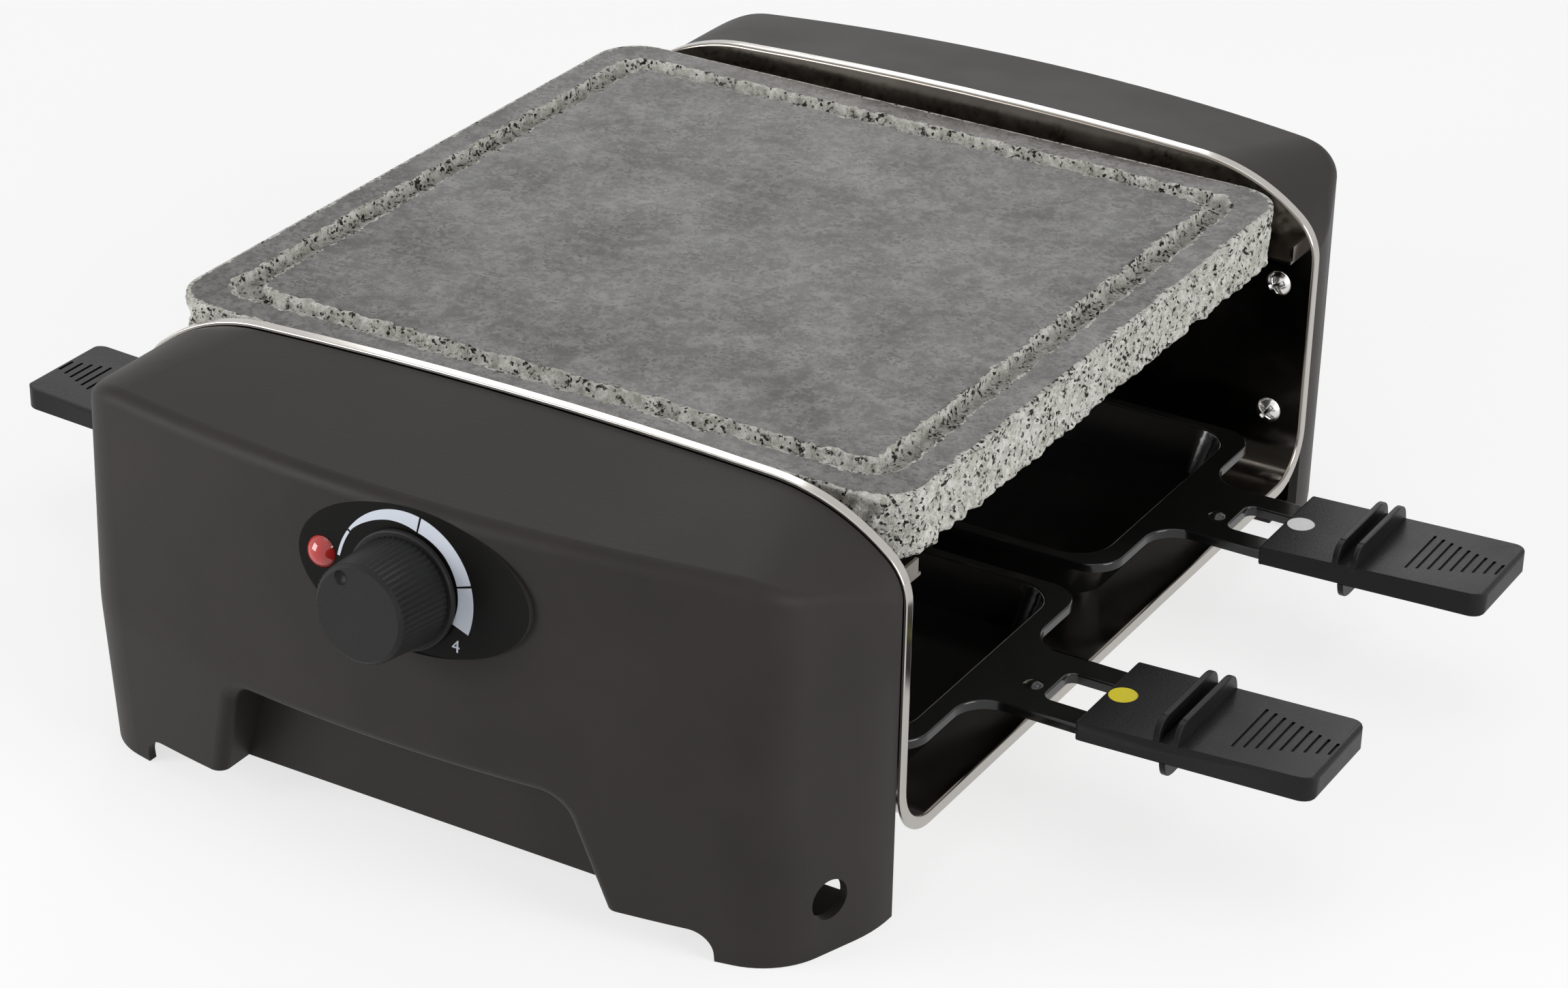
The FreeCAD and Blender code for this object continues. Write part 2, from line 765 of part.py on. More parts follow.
def heating_element():
    """Tube bent into an M: two outer legs, two U-turns at the rear and one in front."""
    half_turn = (leg_outer_x - leg_inner_x) / 2

    def right(u, v):
        return V(u, v, element_z)

    def left(u, v):
        return V(-u, v, element_z)

    def run(place, x, y0, y1):
        return Part.LineSegment(place(x, y0), place(x, y1)).toShape()

    quarter = math.pi / 2
    edges = [run(left, leg_outer_x, element_start_y, turn_y),
             arc_edge((leg_mid_x, turn_y), half_turn, 0, quarter, left),
             arc_edge((leg_mid_x, turn_y), half_turn, quarter, math.pi, left),
             run(left, leg_inner_x, turn_y, -turn_y),
             arc_edge((0, -turn_y), leg_inner_x, -math.pi, -quarter, right),
             arc_edge((0, -turn_y), leg_inner_x, -quarter, 0, right),
             run(right, leg_inner_x, -turn_y, turn_y),
             arc_edge((leg_mid_x, turn_y), half_turn, math.pi, quarter, right),
             arc_edge((leg_mid_x, turn_y), half_turn, quarter, 0, right),
             run(right, leg_outer_x, turn_y, element_start_y)]
    ring = Part.Wire(Part.makeCircle(element_r, left(leg_outer_x, element_start_y), V(0, 1, 0)))
    return Part.Wire(edges).makePipeShell([ring], True, False)


def element_bushes():
    made = []
    for x in (-leg_outer_x, leg_outer_x):
        flange_y = -tub_half_y - bush_flange_t
        front = V(x, flange_y, element_z)
        sleeve = rod(bush_r, front, V(x, -tub_in_y + bush_depth, element_z))
        flange = rod(bush_flange_r, front, V(x, -tub_half_y, element_z))
        bore = rod(element_r, V(x, flange_y - 1, element_z), V(x, -tub_in_y + bush_depth + 1, element_z))
        made.append(sleeve.fuse(flange).cut(bore).removeSplitter())
    return Part.makeCompound(made)


def element_terminals():
    made = []
    for x in (-leg_outer_x, leg_outer_x):
        end = V(x, element_start_y, element_z)
        pin = rod(terminal_pin_r, end - V(0, terminal_w / 2, 0), end)
        tab = box(x - terminal_w / 2, x + terminal_w / 2, element_start_y - terminal_len,
                  element_start_y - terminal_pin_r, element_z - terminal_t / 2, element_z + terminal_t / 2)
        made.append(tab.fuse(pin).removeSplitter())
    return Part.makeCompound(made)


def element_clips():
    """Angle brackets on the rear wall that the rear turns of the element lie on."""
    top = element_z - element_r - clip_gap
    tip = tub_in_y - clip_reach
    made = []
    for x in (-leg_mid_x, leg_mid_x):
        x0 = x - clip_w / 2
        x1 = x + clip_w / 2
        arm = box(x0, x1, tip, tub_in_y, top - clip_t, top)
        back = box(x0, x1, tub_in_y - clip_t, tub_in_y, top - clip_t, top + clip_back_h)
        lip = box(x0, x1, tip - clip_t, tip, top - clip_t, top + clip_lip_h)
        made.append(fused([arm, back, lip]))
    return Part.makeCompound(made)


def heat_shield():
    y = -(tub_half_y + shield_stand)
    plate = box(-shield_half_x, shield_half_x, y - shield_t, y, shield_z0, shield_z1)
    feet = []
    for z in (shield_z0, shield_z1 - shield_t):
        for x in shield_foot_xs:
            feet.append(box(x - shield_foot, x + shield_foot, y, -tub_half_y, z, z + shield_t))
    cuts = [rod(bush_flange_r + 1, V(x, y - 1, element_z), V(x, y + 1, element_z))
            for x in (-leg_outer_x, leg_outer_x)]
    return fused([plate] + feet).cut(cuts)


def thermostat_bracket():
    w = bracket_half_w
    h = bracket_half_h
    back = bracket_s + bracket_t
    plate = dial_box(-w, w, -h, h, bracket_s, back)
    holes = [dial_rod(bush_thread_r, bracket_s - 1, back + 1)]
    for up in (-bracket_post_up, bracket_post_up):
        holes.append(dial_rod(screw_r + hole_gap, bracket_s - 1, back + 1, up))
    return plate.cut(holes)


def bracket_screws():
    made = []
    back = bracket_s + bracket_t
    for up in (-bracket_post_up, bracket_post_up):
        shank = dial_rod(screw_r, casing_wall + 1, back, up)
        head = dial_rod(bracket_head_r, back, back + bracket_head_h, up)
        made.append(shank.fuse(head).removeSplitter())
    return Part.makeCompound(made)


def thermostat():
    """Round switch case behind its bracket, with the threaded bush, ears and two blade terminals."""
    front = bracket_s + bracket_t
    back = front + thermo_len
    case = dial_rod(thermo_r, front, back)
    ear = thermo_r + thermo_ear
    ears = dial_box(-ear, ear, -5, 5, front + thermo_len * 0.4, front + thermo_len * 0.6)
    bush = dial_rod(bush_thread_r, bracket_s - nut_t - bush_thread_past, front)
    bore = dial_rod(shaft_r + shaft_fit, 0, shaft_back + shaft_fit)
    half_w = terminal_w / 2
    tabs = [dial_box(x - half_w, x + half_w, -terminal_t / 2, terminal_t / 2, back, back + thermo_tab_l)
            for x in (-thermo_tab_x, thermo_tab_x)]
    return fused([case, ears, bush] + tabs).cut(bore)


def thermostat_nut():
    r = nut_flats / math.sqrt(3)
    ring = [V(r * math.cos(math.pi * i / 3), r * math.sin(math.pi * i / 3), 0) for i in range(6)]
    nut = Part.Face(Part.Wire(Part.makePolygon(ring + ring[:1]))).extrude(V(0, 0, nut_t))
    nut.Placement = FreeCAD.Placement(along(bracket_s), dial_turn)
    return nut.cut(dial_rod(bush_thread_r, bracket_s - nut_t - 1, bracket_s + 1))


def thermostat_shaft():
    end = -(knob_gap + knob_bore_depth)
    flat = dial_box(-shaft_r, shaft_r, shaft_r - shaft_flat, shaft_r, end - 1, -knob_gap)
    return dial_rod(shaft_r, end, shaft_back).cut(flat)


def flutes(r, z):
    """Fluted ring in the XY plane at z: crests on r, valleys flute_d deeper."""
    points = []
    for i in range(flute_count * 2):
        a = math.pi * i / flute_count
        q = r - (flute_d if i % 2 else 0)
        points.append(V(q * math.cos(a), q * math.sin(a), z))
    return Part.Wire(Part.makePolygon(points + points[:1]))


def knob():
    skirt_top = knob_gap + skirt_h
    cap_z = knob_h - knob_bevel
    grip = Part.makeLoft([flutes(knob_root_r, skirt_top), flutes(knob_top_r, cap_z)], True, True)
    cap_r = knob_top_r - flute_d
    cap = Part.makeCone(cap_r, cap_r - knob_bevel, knob_bevel, V(0, 0, cap_z))
    skirt = Part.makeCylinder(skirt_r, skirt_h, V(0, 0, knob_gap))
    skirt = skirt.makeFillet(skirt_edge_r, [e for e in skirt.Edges if e.BoundBox.ZMin > skirt_top - 1e-6])
    a = math.radians(pointer_angle)
    ball_r = (dimple_r ** 2 + dimple_d ** 2) / (2 * dimple_d)
    ball = Part.makeSphere(ball_r, V(pointer_r * math.cos(a), pointer_r * math.sin(a),
                                     knob_h - dimple_d + ball_r))
    solid = grip.fuse([cap, skirt]).removeSplitter().cut(ball)
    solid.Placement = FreeCAD.Placement(knob_centre, dial_turn)
    return solid.cut(thermostat_shaft())


def indicator_lens():
    barrel = lamp_rod(lens_r, 0, dial_pad)
    flange = lamp_rod(lens_flange_r, dial_pad, dial_pad + lens_flange_t)
    ball_r = (lens_r ** 2 + lens_dome ** 2) / (2 * lens_dome)
    ball = Part.makeSphere(ball_r, lamp_centre - dial_out * (ball_r - lens_dome))
    dome = ball.common(lamp_rod(lens_r, -lens_dome - 1, 0))
    hollow = lamp_rod(lens_r - lens_wall, lens_wall / 2, dial_pad + lens_flange_t + 1)
    return fused([barrel, flange, dome]).cut(hollow)


def indicator_bulb():
    neck = bulb_sink + bulb_r
    tip = Part.makeSphere(bulb_r, lamp_centre - dial_out * neck)
    return lamp_rod(bulb_r, neck, bulb_sink + bulb_len).fuse(tip).removeSplitter()


def lamp_holder():
    front = dial_pad + lens_flange_t
    tube = lamp_rod(holder_r, front, front + holder_len)
    lip = lamp_rod(lens_flange_r, front, front + lens_flange_t)
    return tube.fuse(lip).cut(lamp_rod(bulb_r, front - 1, front + holder_len + 1)).removeSplitter()


def block_ways():
    return [block_x + i * block_l / 3 for i in (-1, 0, 1)]


def terminal_block():
    top = cover_top_z + block_h
    body = box(block_x - block_l / 2, block_x + block_l / 2, -block_y - block_w / 2, -block_y + block_w / 2,
               cover_top_z, top)
    cuts = [rod(block_screw_r, V(x, -block_y, top - block_well), V(x, -block_y, top + 1))
            for x in block_ways()]
    for x in (block_x - block_l / 6, block_x + block_l / 6):
        cuts.append(box(x - block_slit / 2, x + block_slit / 2, -block_y - block_w, -block_y + block_w,
                        top - block_well, top + 1))
    return body.cut(cuts)


def terminal_screws():
    low = cover_top_z + block_h - block_well
    return Part.makeCompound([rod(block_screw_r, V(x, -block_y, low), V(x, -block_y, low + block_screw_h))
                              for x in block_ways()])


def lead(points):
    """Insulated lead along straight runs and tangent arcs."""
    last = len(points) - 1
    path = rounded([(p, 0 if i in (0, last) else lead_bend_r) for i, p in enumerate(points)], False)
    ring = Part.Wire(Part.makeCircle(lead_r, points[0], points[1] - points[0]))
    return path.makePipeShell([ring], True, False)


def internal_leads():
    """Leads from the element to the switch and block, and from the switch to the block."""
    tail_y = element_start_y - terminal_len
    loop_y = tail_y - lead_loop
    switch = along(bracket_s + bracket_t + thermo_len + thermo_tab_l + lead_gap)
    rise = V(0, lead_drop / 2, 0)
    way_z = cover_top_z + block_h - block_well / 2
    front_y = -block_y - block_w / 2
    near_y = front_y - lead_front
    live_x = block_ways()[0]
    low_y = switch.y + lead_drop / 2

    def switch_end(side):
        end = switch + V(side * thermo_tab_x, 0, 0)
        return [end, end + rise, V(knob_x + side * thermo_tab_x, low_y, lead_mid_z + lead_drop)]

    def element_end(x):
        return [V(x, tail_y, element_z), V(x, loop_y, element_z), V(x, loop_y, lead_mid_z)]

    to_switch = element_end(-leg_outer_x) + [V(knob_x - thermo_tab_x, tail_y, lead_mid_z)]
    to_switch += switch_end(-1)[::-1]
    to_block = element_end(leg_outer_x) + [V(block_x, near_y, lead_mid_z - lead_drop),
                                           V(block_x, near_y, way_z), V(block_x, front_y, way_z)]
    across = switch_end(1) + [V(live_x, near_y, lead_mid_z), V(live_x, near_y, way_z),
                              V(live_x, front_y, way_z)]
    return Part.makeCompound([lead(run) for run in (to_switch, to_block, across)])


def tub_screws():
    ball_r = (screw_head_r ** 2 + screw_head_h ** 2) / (2 * screw_head_h)
    made = []
    for side in (-1, 1):
        out = V(0, side, 0)
        for x in (-tub_screw_x, tub_screw_x):
            for z in tub_screw_zs:
                seat = V(x, side * tub_in_y, z)
                ball = Part.makeSphere(ball_r, seat + out * (ball_r - screw_head_h))
                head = ball.common(rod(screw_head_r, seat, seat - out * (screw_head_h + 1)))
                shank = rod(screw_r, seat, seat + out * (screw_len - 1))
                made.append(shank.fuse(head).removeSplitter())
    return Part.makeCompound(made)


def cover_screws():
    made = []
    for y in cover_post_ys:
        for x in (-cover_post_x, cover_post_x):
            seat = V(x, -y, foot_h)
            shank = rod(screw_r, seat, seat + V(0, 0, screw_len))
            head = rod(bracket_head_r, seat - V(0, 0, cover_head_h), seat)
            made.append(shank.fuse(head).removeSplitter())
    return Part.makeCompound(made)


def pan_plan(i):
    """Outline of pan rim and tang, inset by i: rounded tray that sweeps into the tang."""
    x0 = pan_x0 + i
    x1 = pan_x1 - i
    w = pan_half_w - i
    t = tang_half_w - i
    end = tang_end_x - i
    return [(x0, -w, pan_inner_r - i), (x1, -w, pan_outer_r - i), (x1, -t, tang_sweep_r + i), (end, -t, 0),
            (end, t, 0), (x1, t, tang_sweep_r + i), (x1, w, pan_outer_r - i), (x0, w, pan_inner_r - i)]


def dish(inset, low_z, high_z):
    """Tapered dish of the pan, rounded in plan, from low_z up to high_z."""
    wires = []
    for z in (low_z, high_z):
        i = inset + pan_draft * (pan_rim_z - z) / pan_depth
        x0 = pan_x0 + pan_rim_w + i
        x1 = pan_x1 - pan_shelf - i
        w = pan_half_w - pan_rim_w - i
        corners = rectangle(x0, x1, -w, w, bowl_r - i / 2)
        wires.append(rounded([(V(x, y, z), r) for x, y, r in corners]))
    return Part.makeLoft(wires, True, True)


def pan():
    """Pressed pan of the right-hand side, at y = 0: dish, turned-down rim and slotted tang."""
    plate = prism_z(pan_plan(0), pan_rim_z - pan_sheet, pan_rim_z)
    skirt = prism_z(pan_plan(0), pan_rim_z - hem_h, pan_rim_z)
    skirt = skirt.cut(prism_z(pan_plan(hem_t), pan_rim_z - hem_h - 1, pan_rim_z + 1))
    hem_stop = box(handle_x0, tang_end_x + 1, -pan_half_w, pan_half_w, pan_rim_z - hem_h - 1,
                   pan_rim_z - pan_sheet)
    slot = rectangle(slot_x0, slot_x1, -slot_half_w, slot_half_w, slot_r)
    around = rectangle(slot_x0 - collar_t, slot_x1 + collar_t, -slot_half_w - collar_t,
                       slot_half_w + collar_t, slot_r + collar_t)
    collar = prism_z(around, pan_rim_z - collar_h, pan_rim_z)
    pip_ball_r = (pip_r ** 2 + pip_h ** 2) / (2 * pip_h)
    pip_at = V(tub_half_x + pip_out, pip_y, pan_rim_z + pip_h - pip_ball_r)
    pip = Part.makeSphere(pip_ball_r, pip_at)
    pip_root = V(pip_at.x, pip_at.y, pan_rim_z - pan_sheet / 2)
    pip = pip.common(rod(pip_r, pip_root, pip_root + V(0, 0, pan_sheet + pip_h)))
    outside = dish(0, floor_top_z, pan_rim_z)
    inside = dish(pan_sheet, floor_top_z + pan_sheet, pan_rim_z + 1)
    opening = prism_z(slot, pan_rim_z - collar_h - 1, pan_rim_z + 1)
    body = plate.fuse([skirt.fuse(collar).cut(hem_stop), outside, pip])
    return body.cut([inside, opening]).removeSplitter()


def handle_top(x):
    rise = (handle_above1 - handle_above0) * (x - handle_x0) / handle_len
    return pan_rim_z + handle_above0 + rise


def handle_under(x):
    rise = (handle_below0 - handle_below1) * (x - handle_x0) / handle_len
    return pan_rim_z - handle_below0 + rise


def fin(x, root_z, tip_z):
    """Finger guard across the handle, its free corners cut back."""
    rise = tip_z - root_z
    half_w = handle_half_w0 - handle_end_r / 10
    low = root_z - rise * 0.4
    high = root_z + rise * 0.25
    points = [(-half_w, low, 0), (-half_w, high, 0), (-half_w + fin_step, tip_z, fin_t / 1.5),
              (half_w - fin_step, tip_z, fin_t / 1.5), (half_w, high, 0), (half_w, low, 0)]
    return prism_x(points, x, x + fin_t)


def handle(pan_body):
    """Moulded grip over the tang, with finger guards, grip grooves and a seat for the colour dot."""
    past = 2 * fin_h
    plan = prism_z([(handle_x0, -handle_half_w0, handle_edge_r), (handle_x1, -handle_half_w1, handle_end_r),
                    (handle_x1, handle_half_w1, handle_end_r), (handle_x0, handle_half_w0, handle_edge_r)],
                   pan_rim_z - past, pan_rim_z + past)
    side = prism_y([(handle_x0, handle_under(handle_x0), handle_edge_r),
                    (handle_x0, handle_top(handle_x0), handle_edge_r),
                    (handle_x1, handle_top(handle_x1), 1.5 * handle_edge_r),
                    (handle_x1, handle_under(handle_x1), 1.5 * handle_edge_r)],
                   -handle_half_w0 - 1, handle_half_w0 + 1)
    fins = [fin(handle_x0 + at, handle_top(handle_x0 + at), handle_top(handle_x0 + at) + fin_h)
            for at in fin_ats]
    low_x = handle_x0 + low_fin_at
    fins.append(fin(low_x, handle_under(low_x), handle_under(low_x) - low_fin_h))
    cuts = [rod(dot_r, V(dot_x, 0, handle_top(dot_x) - dot_t), V(dot_x, 0, handle_top(dot_x) + 1))]
    for i in range(grip_count):
        x = handle_x0 + grip_at + grip_step * i
        half = grip_half0 + (grip_half1 - grip_half0) * i / (grip_count - 1)
        cuts.append(box(x, x + grip_w, -half, half, handle_top(x) - grip_d, handle_top(x) + 1))
    return plan.common(side).fuse(fins).cut(cuts).cut(pan_body).removeSplitter()


def colour_dot():
    low = V(dot_x, 0, handle_top(dot_x) - dot_t)
    return rod(dot_r, low, low + V(0, 0, dot_t))


def pan_place(shape, side, row):
    """Move a piece made at y = 0 on the right to its own corner of the tub."""
    placed = shape.copy()
    if side < 0:
        placed.rotate(V(0, 0, 0), V(0, 0, 1), 180)
    placed.translate(V(0, row * pan_y, 0))
    return placed


knob_front_y = along(-knob_h, -(knob_top_r - flute_d - knob_bevel)).y
outline_mid_y = -(knob_front_y + face_crease_y) / 2


def save(name, shape):
    shape.translate(V(0, outline_mid_y, 0))
    solids = shape.Solids
    good = len(solids) > 0 and all(s.isValid() for s in solids)
    print(name, "solids", len(solids), "volume", round(shape.Volume, 1), "ok" if good else "BAD")
    out = solids[0] if len(solids) == 1 else Part.makeCompound(solids)
    out.exportStep("parts/" + name + ".step")


nodes = {
    "tub": tub(),
    "front_casing": front_casing(),
    "rear_casing": rear_casing(),
    "front_base_cover": front_base_cover(),
    "stone_plate": stone(),
    "heating_element": heating_element(),
    "element_bushes": element_bushes(),
    "element_terminals": element_terminals(),
    "element_clips": element_clips(),
    "heat_shield": heat_shield(),
    "thermostat": thermostat(),
    "thermostat_nut": thermostat_nut(),
    "thermostat_bracket": thermostat_bracket(),
    "bracket_screws": bracket_screws(),
    "thermostat_shaft": thermostat_shaft(),
    "knob": knob(),
    "indicator_lens": indicator_lens(),
    "indicator_bulb": indicator_bulb(),
    "lamp_holder": lamp_holder(),
    "terminal_block": terminal_block(),
    "terminal_screws": terminal_screws(),
    "internal_leads": internal_leads(),
    "tub_screws": tub_screws(),
    "cover_screws": cover_screws(),
}
pan_body = pan()
handle_body = handle(pan_body)
dot_body = colour_dot()
for corner, side, row in (("front_right", 1, -1), ("rear_right", 1, 1),
                          ("front_left", -1, -1), ("rear_left", -1, 1)):
    nodes["pan_" + corner] = pan_place(pan_body, side, row)
    nodes["handle_" + corner] = pan_place(handle_body, side, row)
    nodes["dot_" + corner] = pan_place(dot_body, side, row)
for name, shape in nodes.items():
    save(name, shape)
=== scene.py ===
# Looks of a four-pan raclette grill with a stone plate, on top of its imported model
# Lengths in the dictionaries are in millimetres, apart from the stage's; Blender gets metres
import math
import bmesh
import bpy
import numpy as np
from mathutils import Matrix, Vector
from mathutils.geometry import convex_hull_2d, intersect_point_line


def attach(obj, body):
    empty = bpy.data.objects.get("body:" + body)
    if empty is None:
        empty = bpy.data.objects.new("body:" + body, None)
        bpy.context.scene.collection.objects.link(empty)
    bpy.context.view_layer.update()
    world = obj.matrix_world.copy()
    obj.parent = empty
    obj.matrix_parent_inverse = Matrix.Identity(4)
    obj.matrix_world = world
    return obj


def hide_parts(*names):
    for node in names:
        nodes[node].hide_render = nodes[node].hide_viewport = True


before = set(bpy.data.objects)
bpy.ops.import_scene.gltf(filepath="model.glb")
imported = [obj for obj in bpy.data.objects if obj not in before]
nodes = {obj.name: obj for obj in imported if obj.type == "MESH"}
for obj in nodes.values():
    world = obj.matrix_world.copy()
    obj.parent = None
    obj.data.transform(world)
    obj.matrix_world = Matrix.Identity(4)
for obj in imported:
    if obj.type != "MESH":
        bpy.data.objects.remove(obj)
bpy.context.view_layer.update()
mm = 0.001
tubMidY = 7.679  # the tub's middle stands this far behind the origin, in mm

camera = {"place": (477.1, -794.5, 518.6), "azimuth": 30.22, "elevation": 27.57, "roll": 1.14, "lens": 91.64}


def makeCamera():
    a, e, r = (math.radians(camera[k]) for k in ("azimuth", "elevation", "roll"))
    back = Vector((math.sin(a) * math.cos(e), -math.cos(a) * math.cos(e), math.sin(e)))
    side = Vector((0, 0, 1)).cross(back).normalized()
    up = back.cross(side)
    right = side * math.cos(r) + up * math.sin(r)
    top = up * math.cos(r) - side * math.sin(r)
    data = bpy.data.cameras.new("photoCamera")
    data.sensor_fit = "HORIZONTAL"
    data.sensor_width = 36
    data.lens = camera["lens"]
    data.clip_end = 50
    cam = bpy.data.objects.new("photoCamera", data)
    turn = Matrix((right, top, back)).transposed().to_4x4()
    cam.matrix_world = Matrix.Translation(Vector(camera["place"]) * mm) @ turn
    bpy.context.scene.collection.objects.link(cam)
    bpy.context.scene.camera = cam


makeCamera()
print("camera made")


# Shader groups: each is built once and placed in the materials with its own values
def newGroup(name, inputs, outputs):
    group = bpy.data.node_groups.new(name, "ShaderNodeTree")
    for label, kind, value in inputs:
        socket = group.interface.new_socket(name=label, in_out="INPUT", socket_type=kind)
        if value is not None:
            socket.default_value = value
    for label, kind in outputs:
        group.interface.new_socket(name=label, in_out="OUTPUT", socket_type=kind)
    return group, group.nodes.new("NodeGroupInput"), group.nodes.new("NodeGroupOutput")


def feed(tree, socket, value):
    # Sets a number or a colour, or links another node's output
    if isinstance(value, (int, float)):
        socket.default_value = value
    elif isinstance(value, (tuple, list)):
        socket.default_value = (*value[:3], 1)
    else:
        tree.links.new(value, socket)


def mathNode(tree, kind, a, b=0.5, clamp=False):
    node = tree.nodes.new("ShaderNodeMath")
    node.operation = kind
    node.use_clamp = clamp
    feed(tree, node.inputs[0], a)
    feed(tree, node.inputs[1], b)
    return node.outputs[0]


def mapRange(tree, value, fromLow, fromHigh, toLow, toHigh):
    node = tree.nodes.new("ShaderNodeMapRange")
    for label, v in (("Value", value), ("From Min", fromLow), ("From Max", fromHigh), ("To Min", toLow),
                     ("To Max", toHigh)):
        feed(tree, node.inputs[label], v)
    return node.outputs["Result"]


def noiseNode(tree, vector, scale, detail=2.0, rough=0.5):
    node = tree.nodes.new("ShaderNodeTexNoise")
    for label, v in (("Vector", vector), ("Scale", scale), ("Detail", detail), ("Roughness", rough)):
        feed(tree, node.inputs[label], v)
    return node.outputs["Fac"]


def mixColour(tree, factor, a, b):
    node = tree.nodes.new("ShaderNodeMix")
    node.data_type = "RGBA"
    # Sockets 6 and 7 are the colours A and B, and output 2 is the mixed colour
    for socket, v in ((node.inputs["Factor"], factor), (node.inputs[6], a), (node.inputs[7], b)):
        feed(tree, socket, v)
    return node.outputs[2]


def objectCoords(tree):
    return tree.nodes.new("ShaderNodeTexCoord").outputs["Object"]


def bumpNode(tree, height, strength, distance):
    node = tree.nodes.new("ShaderNodeBump")
    for label, v in (("Distance", distance), ("Strength", strength), ("Height", height)):
        feed(tree, node.inputs[label], v)
    return node.outputs["Normal"]


# The tub's sheet: its inner face and the flange's outer edge, from the tub's middle, and its soft edges
# shadeEnds: how far past the inner face the tub's painted shade fades out
flange = {"inner": 109.7, "outer": 113.1, "bend": 11.7, "floor": 21.3, "shadeEnds": (0.3, 0.45),
          "soft": 0.9, "outerShare": 0.35, "near": 0.12, "rim": 0.1}


def buildMouldedGrain():
    # Fine cells of a moulded plastic skin, with slow patches of more and less gloss
    group, given, result = newGroup("mouldedGrain", [
        ("Cells per metre", "NodeSocketFloat", 1500.0), ("Depth", "NodeSocketFloat", 0.3),
        ("Dull", "NodeSocketFloat", 0.55), ("Gloss", "NodeSocketFloat", 0.42)],
        [("Normal", "NodeSocketVector"), ("Roughness", "NodeSocketFloat"), ("Patch", "NodeSocketFloat")])
    coords = objectCoords(group)
    grain = noiseNode(group, coords, given.outputs["Cells per metre"], 3.0, 0.6)
    patch = noiseNode(group, coords, 28.0, 3.0, 0.55)
    even = mapRange(group, patch, 0.3, 0.7, 0.0, 1.0)
    group.links.new(bumpNode(group, grain, given.outputs["Depth"], 0.00012), result.inputs["Normal"])
    group.links.new(mapRange(group, even, 0.0, 1.0, given.outputs["Gloss"], given.outputs["Dull"]),
                    result.inputs["Roughness"])
    group.links.new(even, result.inputs["Patch"])
    return group


def buildRolledSheet():
    # Faint rolling lines of sheet metal along X, and smudges in its polish
    group, given, result = newGroup("rolledSheet", [
        ("Lines", "NodeSocketFloat", 0.15), ("Polish", "NodeSocketFloat", 0.16),
        ("Smudge", "NodeSocketFloat", 0.3)],
        [("Normal", "NodeSocketVector"), ("Roughness", "NodeSocketFloat")])
    coords = objectCoords(group)
    stretch = group.nodes.new("ShaderNodeMapping")
    stretch.inputs["Scale"].default_value = (0.03, 1, 1)
    group.links.new(coords, stretch.inputs["Vector"])
    lines = noiseNode(group, stretch.outputs["Vector"], 2600.0, 2.0, 0.6)
    smudge = mapRange(group, noiseNode(group, coords, 45.0, 4.0, 0.6), 0.42, 0.72, 0.0, 1.0)
    group.links.new(bumpNode(group, lines, given.outputs["Lines"], 0.00005), result.inputs["Normal"])
    group.links.new(mapRange(group, smudge, 0.0, 1.0, given.outputs["Polish"], given.outputs["Smudge"]),
                    result.inputs["Roughness"])
    return group


def buildTubShadeMask():
    # Mask of the tub's painted shade: 1 on the inner faces of the U-shaped tub, 0 on its flange and outer
    # faces
    # Reach from the bend's centre is the length of (|y| - c, c - z) with negative parts set to 0
    bend = flange["bend"]
    group, given, result = newGroup("tubShadeMask", [], [("Inside", "NodeSocketFloat")])
    split = group.nodes.new("ShaderNodeSeparateXYZ")
    group.links.new(objectCoords(group), split.inputs[0])
    fromMiddle = mathNode(group, "SUBTRACT", split.outputs["Y"], tubMidY * mm)
    side = mathNode(group, "SUBTRACT", mathNode(group, "ABSOLUTE", fromMiddle), (flange["inner"] - bend) * mm)
    down = mathNode(group, "SUBTRACT", (flange["floor"] + bend) * mm, split.outputs["Z"])
    side = mathNode(group, "MAXIMUM", side, 0.0)
    down = mathNode(group, "MAXIMUM", down, 0.0)
    reach = mathNode(group, "SQRT", mathNode(group, "ADD", mathNode(group, "POWER", side, 2.0),
                                             mathNode(group, "POWER", down, 2.0)))
    near, far = ((bend + past) * mm for past in flange["shadeEnds"])
    group.links.new(mapRange(group, reach, near, far, 1.0, 0.0), result.inputs["Inside"])
    return group


